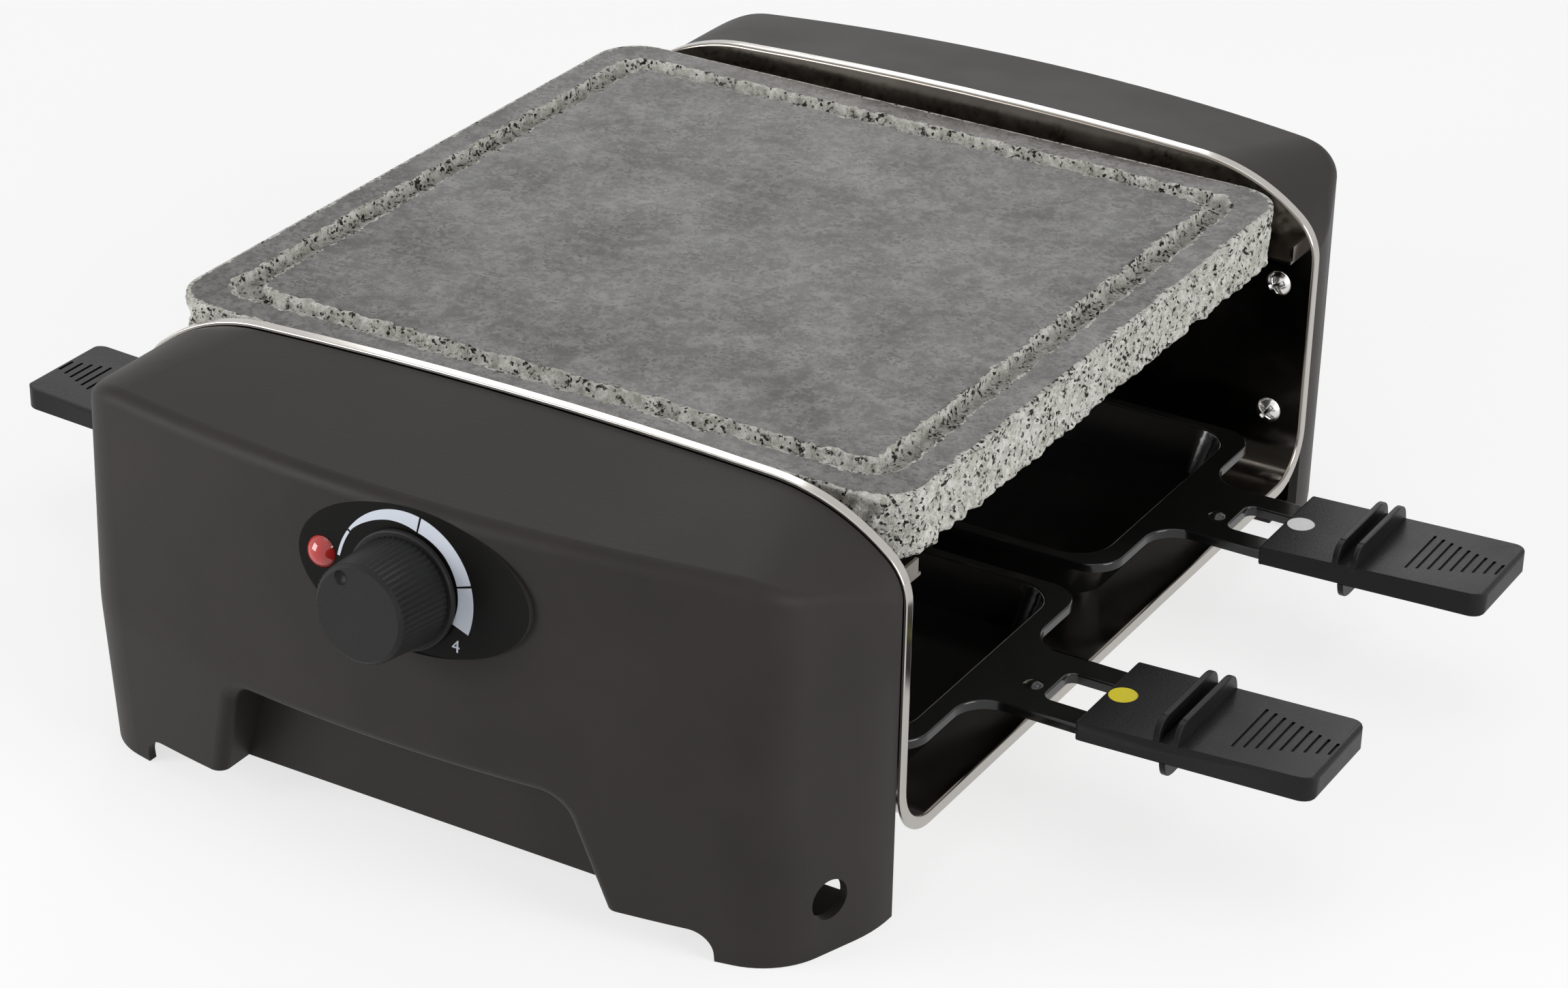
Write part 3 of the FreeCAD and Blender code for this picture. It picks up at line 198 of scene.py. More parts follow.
def buildStoneBody():
    # Crystals: cells whose random value is high are dark, and a finer noise breaks their borders
    # Clouds: slow patches that shift the ground between its two tones, with a fine grain over them
    group, given, result = newGroup("stoneBody", [
        ("Ground", "NodeSocketColor", (0.3, 0.3, 0.3, 1)), ("Second", "NodeSocketColor", (0.2, 0.2, 0.2, 1)),
        ("Crystal", "NodeSocketColor", (0.03, 0.03, 0.03, 1)), ("Crystals", "NodeSocketFloat", 900.0),
        ("Share", "NodeSocketFloat", 0.25), ("Clouds", "NodeSocketFloat", 60.0),
        ("Grain", "NodeSocketFloat", 0.3)],
        [("Color", "NodeSocketColor"), ("Height", "NodeSocketFloat")])
    coords = objectCoords(group)
    cells = group.nodes.new("ShaderNodeTexVoronoi")
    group.links.new(given.outputs["Crystals"], cells.inputs["Scale"])
    group.links.new(coords, cells.inputs["Vector"])
    tone = group.nodes.new("ShaderNodeSeparateColor")
    group.links.new(cells.outputs["Color"], tone.inputs[0])
    fine = noiseNode(group, coords, 1900.0, 4.0, 0.7)
    patches = noiseNode(group, coords, 210.0, 3.0, 0.6)
    spread = mathNode(group, "ADD", mathNode(group, "MULTIPLY", tone.outputs[0], 0.45),
                      mathNode(group, "ADD", mathNode(group, "MULTIPLY", fine, 0.5),
                               mathNode(group, "MULTIPLY", patches, 0.5)))
    edge = mathNode(group, "SUBTRACT", 0.98, given.outputs["Share"])
    crystal = mapRange(group, spread, edge, mathNode(group, "ADD", edge, 0.07), 0.0, 1.0)
    clouds = noiseNode(group, coords, given.outputs["Clouds"], 6.0, 0.65)
    grain = mathNode(group, "MULTIPLY", mathNode(group, "SUBTRACT", fine, 0.5), given.outputs["Grain"])
    ground = mapRange(group, mathNode(group, "ADD", clouds, grain), 0.36, 0.64, 0.0, 1.0)
    base = mixColour(group, ground, given.outputs["Second"], given.outputs["Ground"])
    group.links.new(mixColour(group, crystal, base, given.outputs["Crystal"]), result.inputs["Color"])
    height = mathNode(group, "SUBTRACT", mathNode(group, "ADD", fine, patches),
                      mathNode(group, "MULTIPLY", crystal, 0.5))
    group.links.new(height, result.inputs["Height"])
    return group


mouldedGrain = buildMouldedGrain()
rolledSheet = buildRolledSheet()
tubShadeMask = buildTubShadeMask()
stoneBody = buildStoneBody()
print("shader groups made")


def startMaterial(name):
    mat = bpy.data.materials.new(name)
    mat.use_nodes = True
    return mat, mat.node_tree, mat.node_tree.nodes["Principled BSDF"]


def place(tree, group, values=None):
    node = tree.nodes.new("ShaderNodeGroup")
    node.node_tree = group
    for label, value in (values or {}).items():
        node.inputs[label].default_value = value
    return node


def wearSkin(tree, shader, skin):
    # Roughness and normal come from the placed group
    for label in ("Roughness", "Normal"):
        tree.links.new(skin.outputs[label], shader.inputs[label])


def plasticMaterial(name, colour, worn, cells=1500.0, depth=0.3, dull=0.55, gloss=0.42, specular=0.5):
    mat, tree, shader = startMaterial(name)
    values = {"Cells per metre": cells, "Depth": depth, "Dull": dull, "Gloss": gloss}
    grain = place(tree, mouldedGrain, values)
    tree.links.new(mixColour(tree, grain.outputs["Patch"], colour, worn), shader.inputs["Base Color"])
    wearSkin(tree, shader, grain)
    shader.inputs["Specular IOR Level"].default_value = specular
    return mat


def metalMaterial(name, colour, lines=0.15, polish=0.2, smudge=0.34):
    mat, tree, shader = startMaterial(name)
    sheet = place(tree, rolledSheet, {"Lines": lines, "Polish": polish, "Smudge": smudge})
    shader.inputs["Base Color"].default_value = (*colour, 1)
    shader.inputs["Metallic"].default_value = 1
    wearSkin(tree, shader, sheet)
    return mat


# The front casing's dial oval: its centre and half width and height, and the Y behind which it ends
casing = {"colour": (0.026, 0.0236, 0.0224), "worn": (0.032, 0.0290, 0.0273), "dial": (0.007, 0.0066, 0.0062),
          "dialCentre": (7.2, 82.2), "dialHalf": (32.0, 17.6), "dialBack": (-132.5, -132.0),
          "dialRough": 0.34, "shine": (0.11, 0.07)}


def fromDialCentre(tree, along, part):
    # Square of the distance from the oval's centre along one axis, in half widths
    away = mathNode(tree, "SUBTRACT", along, casing["dialCentre"][part] * mm)
    share = mathNode(tree, "DIVIDE", away, casing["dialHalf"][part] * mm)
    return mathNode(tree, "POWER", mathNode(tree, "ABSOLUTE", share), 2.0)


def casingMaterial():
    # Charcoal moulding; an oval on the front face is darker and smoother, as a polished insert of the mould
    mat, tree, shader = startMaterial("casingPlastic")
    grain = place(tree, mouldedGrain, {"Cells per metre": 1300.0, "Depth": 0.35, "Dull": 0.56, "Gloss": 0.46})
    split = tree.nodes.new("ShaderNodeSeparateXYZ")
    tree.links.new(objectCoords(tree), split.inputs[0])
    reach = mathNode(tree, "ADD", fromDialCentre(tree, split.outputs["X"], 0),
                     fromDialCentre(tree, split.outputs["Z"], 1))
    inOval = mapRange(tree, reach, 0.985, 1.0, 1.0, 0.0)
    front = mapRange(tree, split.outputs["Y"], *(y * mm for y in casing["dialBack"]), 1.0, 0.0)
    oval = mathNode(tree, "MULTIPLY", inOval, front)
    plain = mixColour(tree, grain.outputs["Patch"], casing["colour"], casing["worn"])
    tree.links.new(mixColour(tree, oval, plain, casing["dial"]), shader.inputs["Base Color"])
    tree.links.new(mapRange(tree, oval, 0.0, 1.0, grain.outputs["Roughness"], casing["dialRough"]),
                   shader.inputs["Roughness"])
    tree.links.new(grain.outputs["Normal"], shader.inputs["Normal"])
    tree.links.new(mapRange(tree, oval, 0.0, 1.0, *casing["shine"]), shader.inputs["Specular IOR Level"])
    return mat


def tubMaterial():
    # Stainless sheet: bright on the flange; inside, where it faces only the bay, its colour is darkened as
    # painted shade, standing in for the dark reflections there
    mat, tree, shader = startMaterial("tubSteel")
    sheet = place(tree, rolledSheet, {"Lines": 0.12, "Polish": 0.15, "Smudge": 0.28})
    mask = place(tree, tubShadeMask)
    # Painted shade: the inner faces get a darker copy of the steel's colour
    tree.links.new(mixColour(tree, mask.outputs["Inside"], (0.46, 0.44, 0.41), (0.20, 0.18, 0.16)),
                   shader.inputs["Base Color"])
    shader.inputs["Metallic"].default_value = 1
    wearSkin(tree, shader, sheet)
    return mat


def stoneMaterial():
    # Polished top and broken sides of one stone: the piece's own rough attribute picks between them,
    # with a ragged border
    mat, tree, shader = startMaterial("stonePlate")
    polished = place(tree, stoneBody, {"Ground": (0.125, 0.118, 0.112, 1), "Second": (0.012, 0.009, 0.007, 1),
                                       "Crystal": (0.010, 0.008, 0.006, 1), "Crystals": 1100.0, "Share": 0.16,
                                       "Clouds": 230.0, "Grain": 0.7})
    broken = place(tree, stoneBody, {"Ground": (0.90, 0.89, 0.84, 1), "Second": (0.52, 0.51, 0.45, 1),
                                     "Crystal": (0.020, 0.019, 0.015, 1), "Crystals": 1300.0, "Share": 0.13,
                                     "Clouds": 330.0, "Grain": 0.9})
    rough = tree.nodes.new("ShaderNodeAttribute")
    rough.attribute_name = "rough"
    ragged = mathNode(tree, "SUBTRACT", noiseNode(tree, objectCoords(tree), 620.0, 3.0, 0.6), 0.5)
    border = mathNode(tree, "ADD", rough.outputs["Fac"], mathNode(tree, "MULTIPLY", ragged, 1.1))
    share = mapRange(tree, border, 0.44, 0.52, 0.0, 1.0)
    tree.links.new(mixColour(tree, share, polished.outputs["Color"], broken.outputs["Color"]),
                   shader.inputs["Base Color"])
    wear = mapRange(tree, noiseNode(tree, objectCoords(tree), 40.0, 4.0, 0.6), 0.35, 0.65, 0.30, 0.42)
    tree.links.new(mapRange(tree, share, 0.0, 1.0, wear, 0.9), shader.inputs["Roughness"])
    depth = mapRange(tree, share, 0.0, 1.0, 0.03, 1.0)
    tree.links.new(bumpNode(tree, broken.outputs["Height"], depth, 0.0010), shader.inputs["Normal"])
    shader.inputs["Specular IOR Level"].default_value = 0.25
    return mat


def lensMaterial():
    mat, tree, shader = startMaterial("lensRed")
    grain = place(tree, mouldedGrain, {"Cells per metre": 400.0, "Depth": 0.04, "Dull": 0.12, "Gloss": 0.05})
    shader.inputs["Base Color"].default_value = (0.62, 0.035, 0.03, 1)
    shader.inputs["Transmission Weight"].default_value = 0.35
    shader.inputs["IOR"].default_value = 1.49
    shader.inputs["Coat Weight"].default_value = 0.5
    wearSkin(tree, shader, grain)
    return mat


def bulbMaterial():
    mat, tree, shader = startMaterial("bulbGlass")
    grain = place(tree, mouldedGrain, {"Cells per metre": 200.0, "Depth": 0.02, "Dull": 0.06, "Gloss": 0.02})
    shader.inputs["Base Color"].default_value = (0.98, 0.86, 0.76, 1)
    shader.inputs["Transmission Weight"].default_value = 0.9
    wearSkin(tree, shader, grain)
    return mat


materials = {
    "casing": casingMaterial(),
    "tub": tubMaterial(),
    "stone": stoneMaterial(),
    "lens": lensMaterial(),
    "bulb": bulbMaterial(),
    "cover": plasticMaterial("coverPlastic", (0.028, 0.027, 0.026), (0.034, 0.032, 0.031),
                             dull=0.65, gloss=0.5),
    "knob": plasticMaterial("knobPlastic", (0.009, 0.009, 0.009), (0.013, 0.0127, 0.0125),
                            cells=2200.0, depth=0.5, dull=0.58, gloss=0.46, specular=0.2),
    "handle": plasticMaterial("handlePlastic", (0.0052, 0.0050, 0.0054), (0.0088, 0.0085, 0.0091),
                              cells=1900.0, depth=0.8, dull=0.48, gloss=0.34, specular=0.2),
    "pan": plasticMaterial("panCoating", (0.0045, 0.0045, 0.0045), (0.006, 0.006, 0.006),
                           cells=500.0, depth=0.08, dull=0.18, gloss=0.1, specular=0.5),
    "element": metalMaterial("elementTube", (0.24, 0.20, 0.18), lines=0.3, polish=0.38, smudge=0.6),
    "ceramic": plasticMaterial("ceramicBush", (0.74, 0.72, 0.65), (0.66, 0.63, 0.56),
                               cells=900.0, dull=0.8, gloss=0.6),
    "plated": metalMaterial("platedSteel", (0.62, 0.61, 0.58), polish=0.26, smudge=0.42),
    "shield": metalMaterial("shieldSheet", (0.82, 0.82, 0.82), lines=0.3, polish=0.24, smudge=0.4),
    "phenolic": plasticMaterial("thermostatCase", (0.26, 0.17, 0.09), (0.30, 0.20, 0.11),
                                dull=0.6, gloss=0.4),
    "brass": metalMaterial("brassNut", (0.78, 0.60, 0.30), polish=0.22, smudge=0.36),
    "holder": plasticMaterial("holderPlastic", (0.72, 0.70, 0.64), (0.66, 0.64, 0.58), dull=0.6, gloss=0.4),
    "lead": plasticMaterial("leadSilicone", (0.34, 0.12, 0.07), (0.40, 0.15, 0.09),
                            cells=800.0, dull=0.6, gloss=0.45),
    "screw": metalMaterial("screwSteel", (0.72, 0.71, 0.69), lines=0.1, polish=0.16, smudge=0.3),
    "print": plasticMaterial("dialPrint", (0.62, 0.66, 0.74), (0.58, 0.62, 0.70),
                             cells=900.0, depth=0.1, dull=0.5, gloss=0.4),
    "dotWhite": plasticMaterial("dotWhite", (0.88, 0.88, 0.90), (0.84, 0.84, 0.86), dull=0.4, gloss=0.28),
    "dotYellow": plasticMaterial("dotYellow", (0.94, 0.80, 0.02), (0.90, 0.76, 0.02), dull=0.4, gloss=0.28),
    "dotRed": plasticMaterial("dotRed", (0.62, 0.03, 0.02), (0.58, 0.03, 0.02), dull=0.4, gloss=0.28),
    "dotBlue": plasticMaterial("dotBlue", (0.02, 0.12, 0.52), (0.02, 0.10, 0.46), dull=0.4, gloss=0.28),
}
wears = {
    "casing": ["front_casing", "rear_casing"], "tub": ["tub"], "cover": ["front_base_cover"],
    "element": ["heating_element"], "ceramic": ["element_bushes"],
    "plated": ["element_terminals", "element_clips", "thermostat_bracket", "thermostat_shaft"],
    "shield": ["heat_shield"], "phenolic": ["thermostat"], "brass": ["thermostat_nut", "terminal_screws"],
    "screw": ["bracket_screws", "tub_screws", "cover_screws"], "knob": ["knob"], "lens": ["indicator_lens"],
    "bulb": ["indicator_bulb"], "holder": ["lamp_holder", "terminal_block"], "lead": ["internal_leads"],
    "stone": ["stone_plate"],
    "pan": ["pan_front_right", "pan_rear_right", "pan_front_left", "pan_rear_left"],
    "handle": ["handle_front_right", "handle_rear_right", "handle_front_left", "handle_rear_left"],
    "dotYellow": ["dot_front_right"], "dotWhite": ["dot_rear_right"], "dotRed": ["dot_front_left"],
    "dotBlue": ["dot_rear_left"],
}
for finish, names in wears.items():
    for name in names:
        mesh = nodes[name].data
        mesh.materials.clear()
        mesh.materials.append(materials[finish])
print("materials on the nodes")


# New surfaces: whole grids of points, in millimetres
def gridFaces(rows, cols, closed):
    # Quads between neighbouring rows and columns of a grid; closed joins the last column to the first
    i, j = np.meshgrid(np.arange(rows - 1), np.arange(cols if closed else cols - 1), indexing="ij")
    k = (j + 1) % cols
    return np.stack([i * cols + j, i * cols + k, (i + 1) * cols + k, (i + 1) * cols + j], -1).reshape(-1, 4)


def makePiece(name, points, faces, finish, body, smooth=True):
    mesh = bpy.data.meshes.new(name)
    mesh.from_pydata((np.asarray(points, float) * mm).tolist(), [], faces.tolist())
    mesh.update()
    mesh.materials.append(materials[finish])
    mesh.polygons.foreach_set("use_smooth", np.full(len(mesh.polygons), smooth))
    piece = bpy.data.objects.new(name, mesh)
    bpy.context.scene.collection.objects.link(piece)
    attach(piece, body)
    return piece


# Soft edges: a merged copy of a CAD node, with its hard edges bevelled, stands in for the node
soft = {"merge": 2e-6, "flat": 0.4, "hard": 38, "crease": 28}


def softCopy(node, name, width, segments, finish, body, share, reshape=None):
    # Doubles are merged and flat faces joined; share gives each hard edge its part of the bevel's width
    mesh = nodes[node].data.copy()
    mesh.name = name
    work = bmesh.new()
    work.from_mesh(mesh)
    bmesh.ops.remove_doubles(work, verts=work.verts, dist=soft["merge"])
    bmesh.ops.dissolve_limit(work, angle_limit=math.radians(soft["flat"]), verts=work.verts, edges=work.edges)
    if reshape:
        reshape(work)
    work.normal_update()
    weight = work.edges.layers.float.new("bevel_weight_edge")
    count = 0
    for edge in work.edges:
        paired = len(edge.link_faces) == 2
        angle = math.degrees(edge.calc_face_angle(0)) if paired else 360
        centre = (edge.verts[0].co + edge.verts[1].co) / 2 / mm
        part = share(centre, edge) if paired and angle > soft["hard"] else 0
        if part:
            edge[weight] = part
            count += 1
        elif angle > soft["crease"]:
            edge.smooth = False
    work.to_mesh(mesh)
    work.free()
    mesh.materials.clear()
    mesh.materials.append(materials[finish])
    mesh.polygons.foreach_set("use_smooth", np.ones(len(mesh.polygons), bool))
    piece = bpy.data.objects.new(name, mesh)
    bpy.context.scene.collection.objects.link(piece)
    bevel = piece.modifiers.new("soft edges", "BEVEL")
    bevel.limit_method = "WEIGHT"
    bevel.width = width * mm
    bevel.segments = segments
    bevel.use_clamp_overlap = False
    bevel.miter_outer = "MITER_ARC"
    smooth = piece.modifiers.new("smooth by angle", "WEIGHTED_NORMAL")
    smooth.keep_sharp = True
    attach(piece, body)
    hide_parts(node)
    print(name, "edges bevelled", count)
    return piece


# Pans and handles: the rim's height, and where the handles' ends, sides and finger guards start
pans = {"rim": 35.0, "middle": 51.4, "soft": 0.5, "handleSoft": 0.28, "endX": 186.5, "endY": 9.0,
        "sideY": 14.5, "finX": (149.5, 157.0), "finZ": (31.8, 39.5),
        "corners": ("front_right", "rear_right", "front_left", "rear_left")}
fins = {"cuts": 6, "bulge": 1.05, "least": 2.2, "flat": 0.05}


def roundFins(work):
    # The slanted corners of the finger guards become arcs: points along each slant move out by 4 t (1 - t)
    def slanted(edge):
        way = (edge.verts[1].co - edge.verts[0].co) / mm
        return abs(way.x) < fins["flat"] and abs(way.y) > fins["least"] and abs(way.z) > fins["least"]

    slants = [e for e in work.edges if slanted(e)]
    middle = sum((e.verts[0].co.y + e.verts[1].co.y for e in slants)) / (2 * len(slants))

    def corner(at):
        # Which of the guards' corners a point is at: its place along X, its side, above or below the tang
        return round(at.x / mm, 1), at.y > middle, at.z > pans["rim"] * mm

    ends = {}
    for edge in slants:
        a, b = edge.verts[0].co.copy(), edge.verts[1].co.copy()
        ends[corner((a + b) / 2)] = (a, b)
    made = bmesh.ops.subdivide_edges(work, edges=slants, cuts=fins["cuts"], use_grid_fill=True)
    for point in (v for v in made["geom_inner"] if isinstance(v, bmesh.types.BMVert)):
        if corner(point.co) not in ends:
            continue
        a, b = ends[corner(point.co)]
        way = b - a
        t = (point.co - a).dot(way) / way.length_squared
        out = Vector((0, abs(way.z), abs(way.y))).normalized()
        out.y *= 1 if point.co.y > middle else -1
        out.z *= 1 if point.co.z > pans["rim"] * mm else -1
        point.co += out * fins["bulge"] * 4 * t * (1 - t) * mm


def handleShare(centre, edge):
    # The handle's long edges past its finger guards, those round its end, and the guards' free edges
    way = (edge.verts[1].co - edge.verts[0].co).normalized()
    level, upright, lengthwise = abs(way.z) < 0.3, abs(way.x) < 0.3, abs(way.x) > 0.5
    fromMiddle = abs(abs(centre.y - tubMidY) - pans["middle"])
    onSide = lengthwise and fromMiddle > pans["sideY"] and abs(centre.x) > pans["finX"][1]
    atEnd = abs(centre.x) > pans["endX"] and fromMiddle > pans["endY"]
    if level and (onSide or atEnd):
        return 1
    onFin = pans["finX"][0] < abs(centre.x) < pans["finX"][1]
    free = centre.z > pans["finZ"][1] or centre.z < pans["finZ"][0]
    return 1 if onFin and free and upright else 0


def rimShare(centre, edge):
    return 1 if centre.z > pans["rim"] - 0.05 else 0


for corner in pans["corners"]:
    label, body = corner.title().replace("_", ""), "pan_set_" + corner
    piece = softCopy("pan_" + corner, "pan" + label, pans["soft"], 3, "pan", body, rimShare)
    piece = softCopy("handle_" + corner, "handle" + label, pans["handleSoft"], 3, "handle", body,
                     handleShare, roundFins)
print("pans and handles softened")

# The tub's outline, seen along Y, tells its flange from the edges of its holes
sheetPoints = [(v.co.x / mm, v.co.z / mm) for v in nodes["tub"].data.vertices]
outline = [Vector(sheetPoints[i]) for i in convex_hull_2d(sheetPoints)]


def fromOutline(x, z):
    # Distance to the nearest side of the sheet's convex outline, seen along Y
    point = Vector((x, z))
    nearest = []
    for a, b in zip(outline, outline[1:] + outline[:1]):
        foot, part = intersect_point_line(point, a, b)
        foot = a if part < 0 else b if part > 1 else foot
        nearest.append((point - Vector(foot[:2])).length)
    return min(nearest)


def flangeShare(centre, edge):
    # Full width on the inner bend of the tub's flange, a third of it on its outer edges, none round its holes
    if fromOutline(centre.x, centre.z) > flange["rim"]:
        return 0
    side = max(abs(centre.y - tubMidY) - (flange["inner"] - flange["bend"]), 0)
    down = max(flange["floor"] + flange["bend"] - centre.z, 0)
    reach = math.hypot(side, down) - flange["bend"]
    if abs(reach) < flange["near"]:
        return 1
    return flange["outerShare"] if abs(reach - (flange["outer"] - flange["inner"])) < flange["near"] else 0


tubPiece = softCopy("tub", "tubSheet", flange["soft"], 4, "tub", "housing", flangeShare)
print("tub softened")

stone = {"half": 105.0, "corner": 13.0, "shift": -3.0, "bottom": 85.5, "top": 102.5, "edge": 1.2,
         "groove": (9.5, 16.5), "grooveCorners": (9.0, 5.0), "grooveDepth": 2.6, "slope": 0.9,
         "side": 200, "arc": 24, "chip": 3.4, "lowerChip": 1.4, "grooveChip": 1.2, "pit": 1.1}


def stoneLoop(inset, corner):
    # Points of rounded squares, one row per inset, walking anticlockwise from the right-hand side's lower end
    # Each corner is a quarter circle round a centre that stands one radius in from both sides
    half = stone["half"] - inset
    core = half - corner
    rows = []
    for quarter in range(4):
        turn = math.pi / 2 * quarter
        along = np.linspace(-1, 1, stone["side"], endpoint=False)
        sweep = np.linspace(0, math.pi / 2, stone["arc"], endpoint=False)
        x = np.concatenate([half[:, None] + 0 * along, core[:, None] + corner[:, None] * np.cos(sweep)], 1)
        y = np.concatenate([core[:, None] * along, core[:, None] + corner[:, None] * np.sin(sweep)], 1)
        c, s = math.cos(turn), math.sin(turn)
        rows.append(np.stack([x * c - y * s, x * s + y * c], -1))
    return np.concatenate(rows, 1)


def stoneCells(along, down, width, height, slant=0.0):
    # Cell coordinates of a lattice whose columns lean by slant; the loop closes after a whole number of cells
    around = along.max() * along.shape[1] / (along.shape[1] - 1)
    wide = round(around / width)
    return (along / around * wide + slant * down / width) % wide, down / height, wide


def bites(along, down, width, height, seed, slant=0.0, bowl=1.3):
    # Chisel bites: for each point the largest over the nearby seeds of (depth - bowl * distance squared)
    x, y, wide = stoneCells(along, down, width, height, slant)
    tall = int(y.max()) + 3
    random = np.random.default_rng(seed)
    shiftX, shiftY, depth = random.random((3, tall, wide))
    best = np.full(x.shape, -9.0)
    for i in (-1, 0, 1):
        for j in (-1, 0, 1):
            row = np.clip(y.astype(int) + 1 + i, 0, tall - 1)
            col = (x.astype(int) + j) % wide
            dx = x - (x.astype(int) + j + shiftX[row, col])
            dy = y - (y.astype(int) + i + shiftY[row, col])
            best = np.maximum(best, 0.35 + 0.65 * depth[row, col] - bowl * (dx ** 2 + dy ** 2))
    return np.clip(best, 0, 1)


def grit(along, down, size, seed):
    # Random heights from 0 to 1 on a lattice, drawn out straight between its points
    x, y, wide = stoneCells(along, down, size, size)
    lattice = np.random.default_rng(seed).random((int(y.max()) + 2, wide))
    i, j = y.astype(int), x.astype(int) % wide
    fy, fx, k = y - i, x - x.astype(int), (j + 1) % wide
    return ((1 - fy) * ((1 - fx) * lattice[i, j] + fx * lattice[i, k])
            + fy * ((1 - fx) * lattice[i + 1, j] + fx * lattice[i + 1, k]))


def stoneProfile():
    # Rows of (inset, height, rough) from the top's middle, over the groove and the side, to the base's middle
    half, top, low, edge = stone["half"], stone["top"], stone["bottom"], stone["edge"]
    g0, g1 = stone["groove"]
    slope, floor = stone["slope"], top - stone["grooveDepth"]
    wall = np.linspace(0, 1, 7)
    bend = np.linspace(0, math.pi / 2, 5)
    down = np.linspace(top - edge - 0.5, low + 0.4, 30)
    border = ((1.7, 0.0), (1.1, 0.2), (0.6, 0.45))
    return np.concatenate([
        [(i, top, 0.0) for i in (half, 60.0, 30.0, g1 + 5.0, g1 + 3.0)],
        [(g1 + i, top, r) for i, r in border],
        np.stack([g1 - slope * wall, top - (top - floor) * wall, 0.75 + 0.25 * wall], 1),
        np.stack([np.linspace(g1 - 1.4, g0 + 1.4, 9), np.full(9, floor), np.ones(9)], 1),
        np.stack([g0 + slope * wall[::-1], floor + (top - floor) * wall, 1.0 - 0.25 * wall], 1),
        [(g0 - i, top, r) for i, r in border[::-1]], [(g0 - 3.0, top, 0.0), (4.6, top, 0.0)],
        [(2.6, top, 0.12), (edge + 0.5, top, 0.38)],
        np.stack([edge - edge * np.sin(bend), top - edge + edge * np.cos(bend), 0.7 + 0.3 * bend], 1),
        np.stack([0 * down, down, 1 + 0 * down], 1),
        [(i, low, 1.0) for i in (0.5, 3.0, 30.0, half)]])


def makeStone():
    # The profile is carried round a rounded square, then bitten and pitted, only inwards
    g0, g1 = stone["groove"]
    top, low, edge, slope = stone["top"], stone["bottom"], stone["edge"], stone["slope"]
    inset, height, rough = stoneProfile().T
    corner = np.interp(inset, [0, g0, g1, 30, stone["half"]],
                       [stone["corner"], *stone["grooveCorners"], 5, 0])
    loop = stoneLoop(inset, corner)
    rows, cols = loop.shape[:2]
    # The bites are placed by u along the side's loop and v down the profile, both in mm
    edges = np.linalg.norm(np.diff(loop[-10], axis=0), axis=-1)
    u = np.concatenate([[0], np.cumsum(edges)]) + 0 * loop[..., 0]
    v = np.concatenate([[0], np.cumsum(np.hypot(np.diff(inset), np.diff(height)))])
    v = v[:, None] + 0 * u
    z = height[:, None] + 0 * u
    side = ((height < top - edge * 0.3) & (inset < edge) & (height > low - 0.1)).astype(float)[:, None]
    fade = np.clip((top - height) / 3.5, 0.3, 1)[:, None] * side
    # Tall leaning bites, smaller ones and grit, deeper on some stretches of the side than on others
    chips = (0.58 * bites(u, v, 4.4, 11.0, 3, 0.6) + 0.28 * bites(u, v, 2.1, 4.0, 4, 0.5)
             + 0.14 * grit(u, v, 1.0, 5)) * (0.45 + 0.75 * grit(u, v * 0, 17.0, 12))
    push = stone["chip"] * chips * fade
    # The lower edge is chipped upwards too
    lower = np.clip(1 - (height - low) / 3.0, 0, 1)[:, None] * side * (height > low + 0.1)[:, None]
    z = z + lower * stone["lowerChip"] * chips
    ahead = np.roll(loop, -1, 1) - np.roll(loop, 1, 1)
    out = np.stack([ahead[..., 1], -ahead[..., 0]], -1)
    out = out / np.maximum(np.linalg.norm(out, axis=-1, keepdims=True), 1e-9)
    xy = loop - out * push[..., None]
    # Each side of the groove wanders by itself; the floor follows both, and beyond them the move fades out
    across = np.clip((inset - g0 - slope) / (g1 - g0 - 2 * slope), 0, 1)[:, None]
    beyond = np.interp(inset, [g0 - 3.0, g0 - 0.6, g1 + 0.6, g1 + 5.0], [0, 1, 1, 0])[:, None]
    inner, outer = (bites(u, v * 0, 4.5, 9.0, n) * 0.9 + grit(u, v * 0, 1.4, n + 20) * 0.8 - 0.85
                    for n in (6, 7))
    loose = (grit(u, v, 1.0, 11) - 0.5) * 0.5 * ((rough > 0.8) & (inset > edge))[:, None]
    wander = (1 - across) * outer + across * inner + loose
    xy = xy + out * (stone["grooveChip"] * wander * beyond)[..., None]
    # Pits in the groove's floor, none at its borders
    deep = ((inset > g0 + 0.1) & (inset < g1 - 0.1)).astype(float) * np.clip((top - height) / 1.2, 0, 1)
    z = z - stone["pit"] * (0.6 * bites(u, v, 2.6, 2.6, 8) + 0.4 * grit(u, v, 1.2, 9)) * deep[:, None]
    points = np.concatenate([xy + [stone["shift"], tubMidY], z[..., None]], -1).reshape(-1, 3)
    piece = makePiece("stonePlate", points, gridFaces(rows, cols, True)[:, ::-1], "stone", "stone")
    # The rough attribute tells polished from broken stone, and it varies along the borders between them
    attribute = piece.data.attributes.new("rough", "FLOAT", "POINT")
    ragged = ((rough > 0.05) & (rough < 0.6))[:, None]
    bitten = rough[:, None] + (bites(u, v * 0, 6.0, 9.0, 10) - 0.5) * 0.5 * ragged
    attribute.data.foreach_set("value", np.clip(bitten, 0, 1).reshape(-1).astype(np.float32))
    return piece


stonePiece = makeStone()
print("stone made, triangles", 2 * len(stonePiece.data.polygons))
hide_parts("stone_plate")

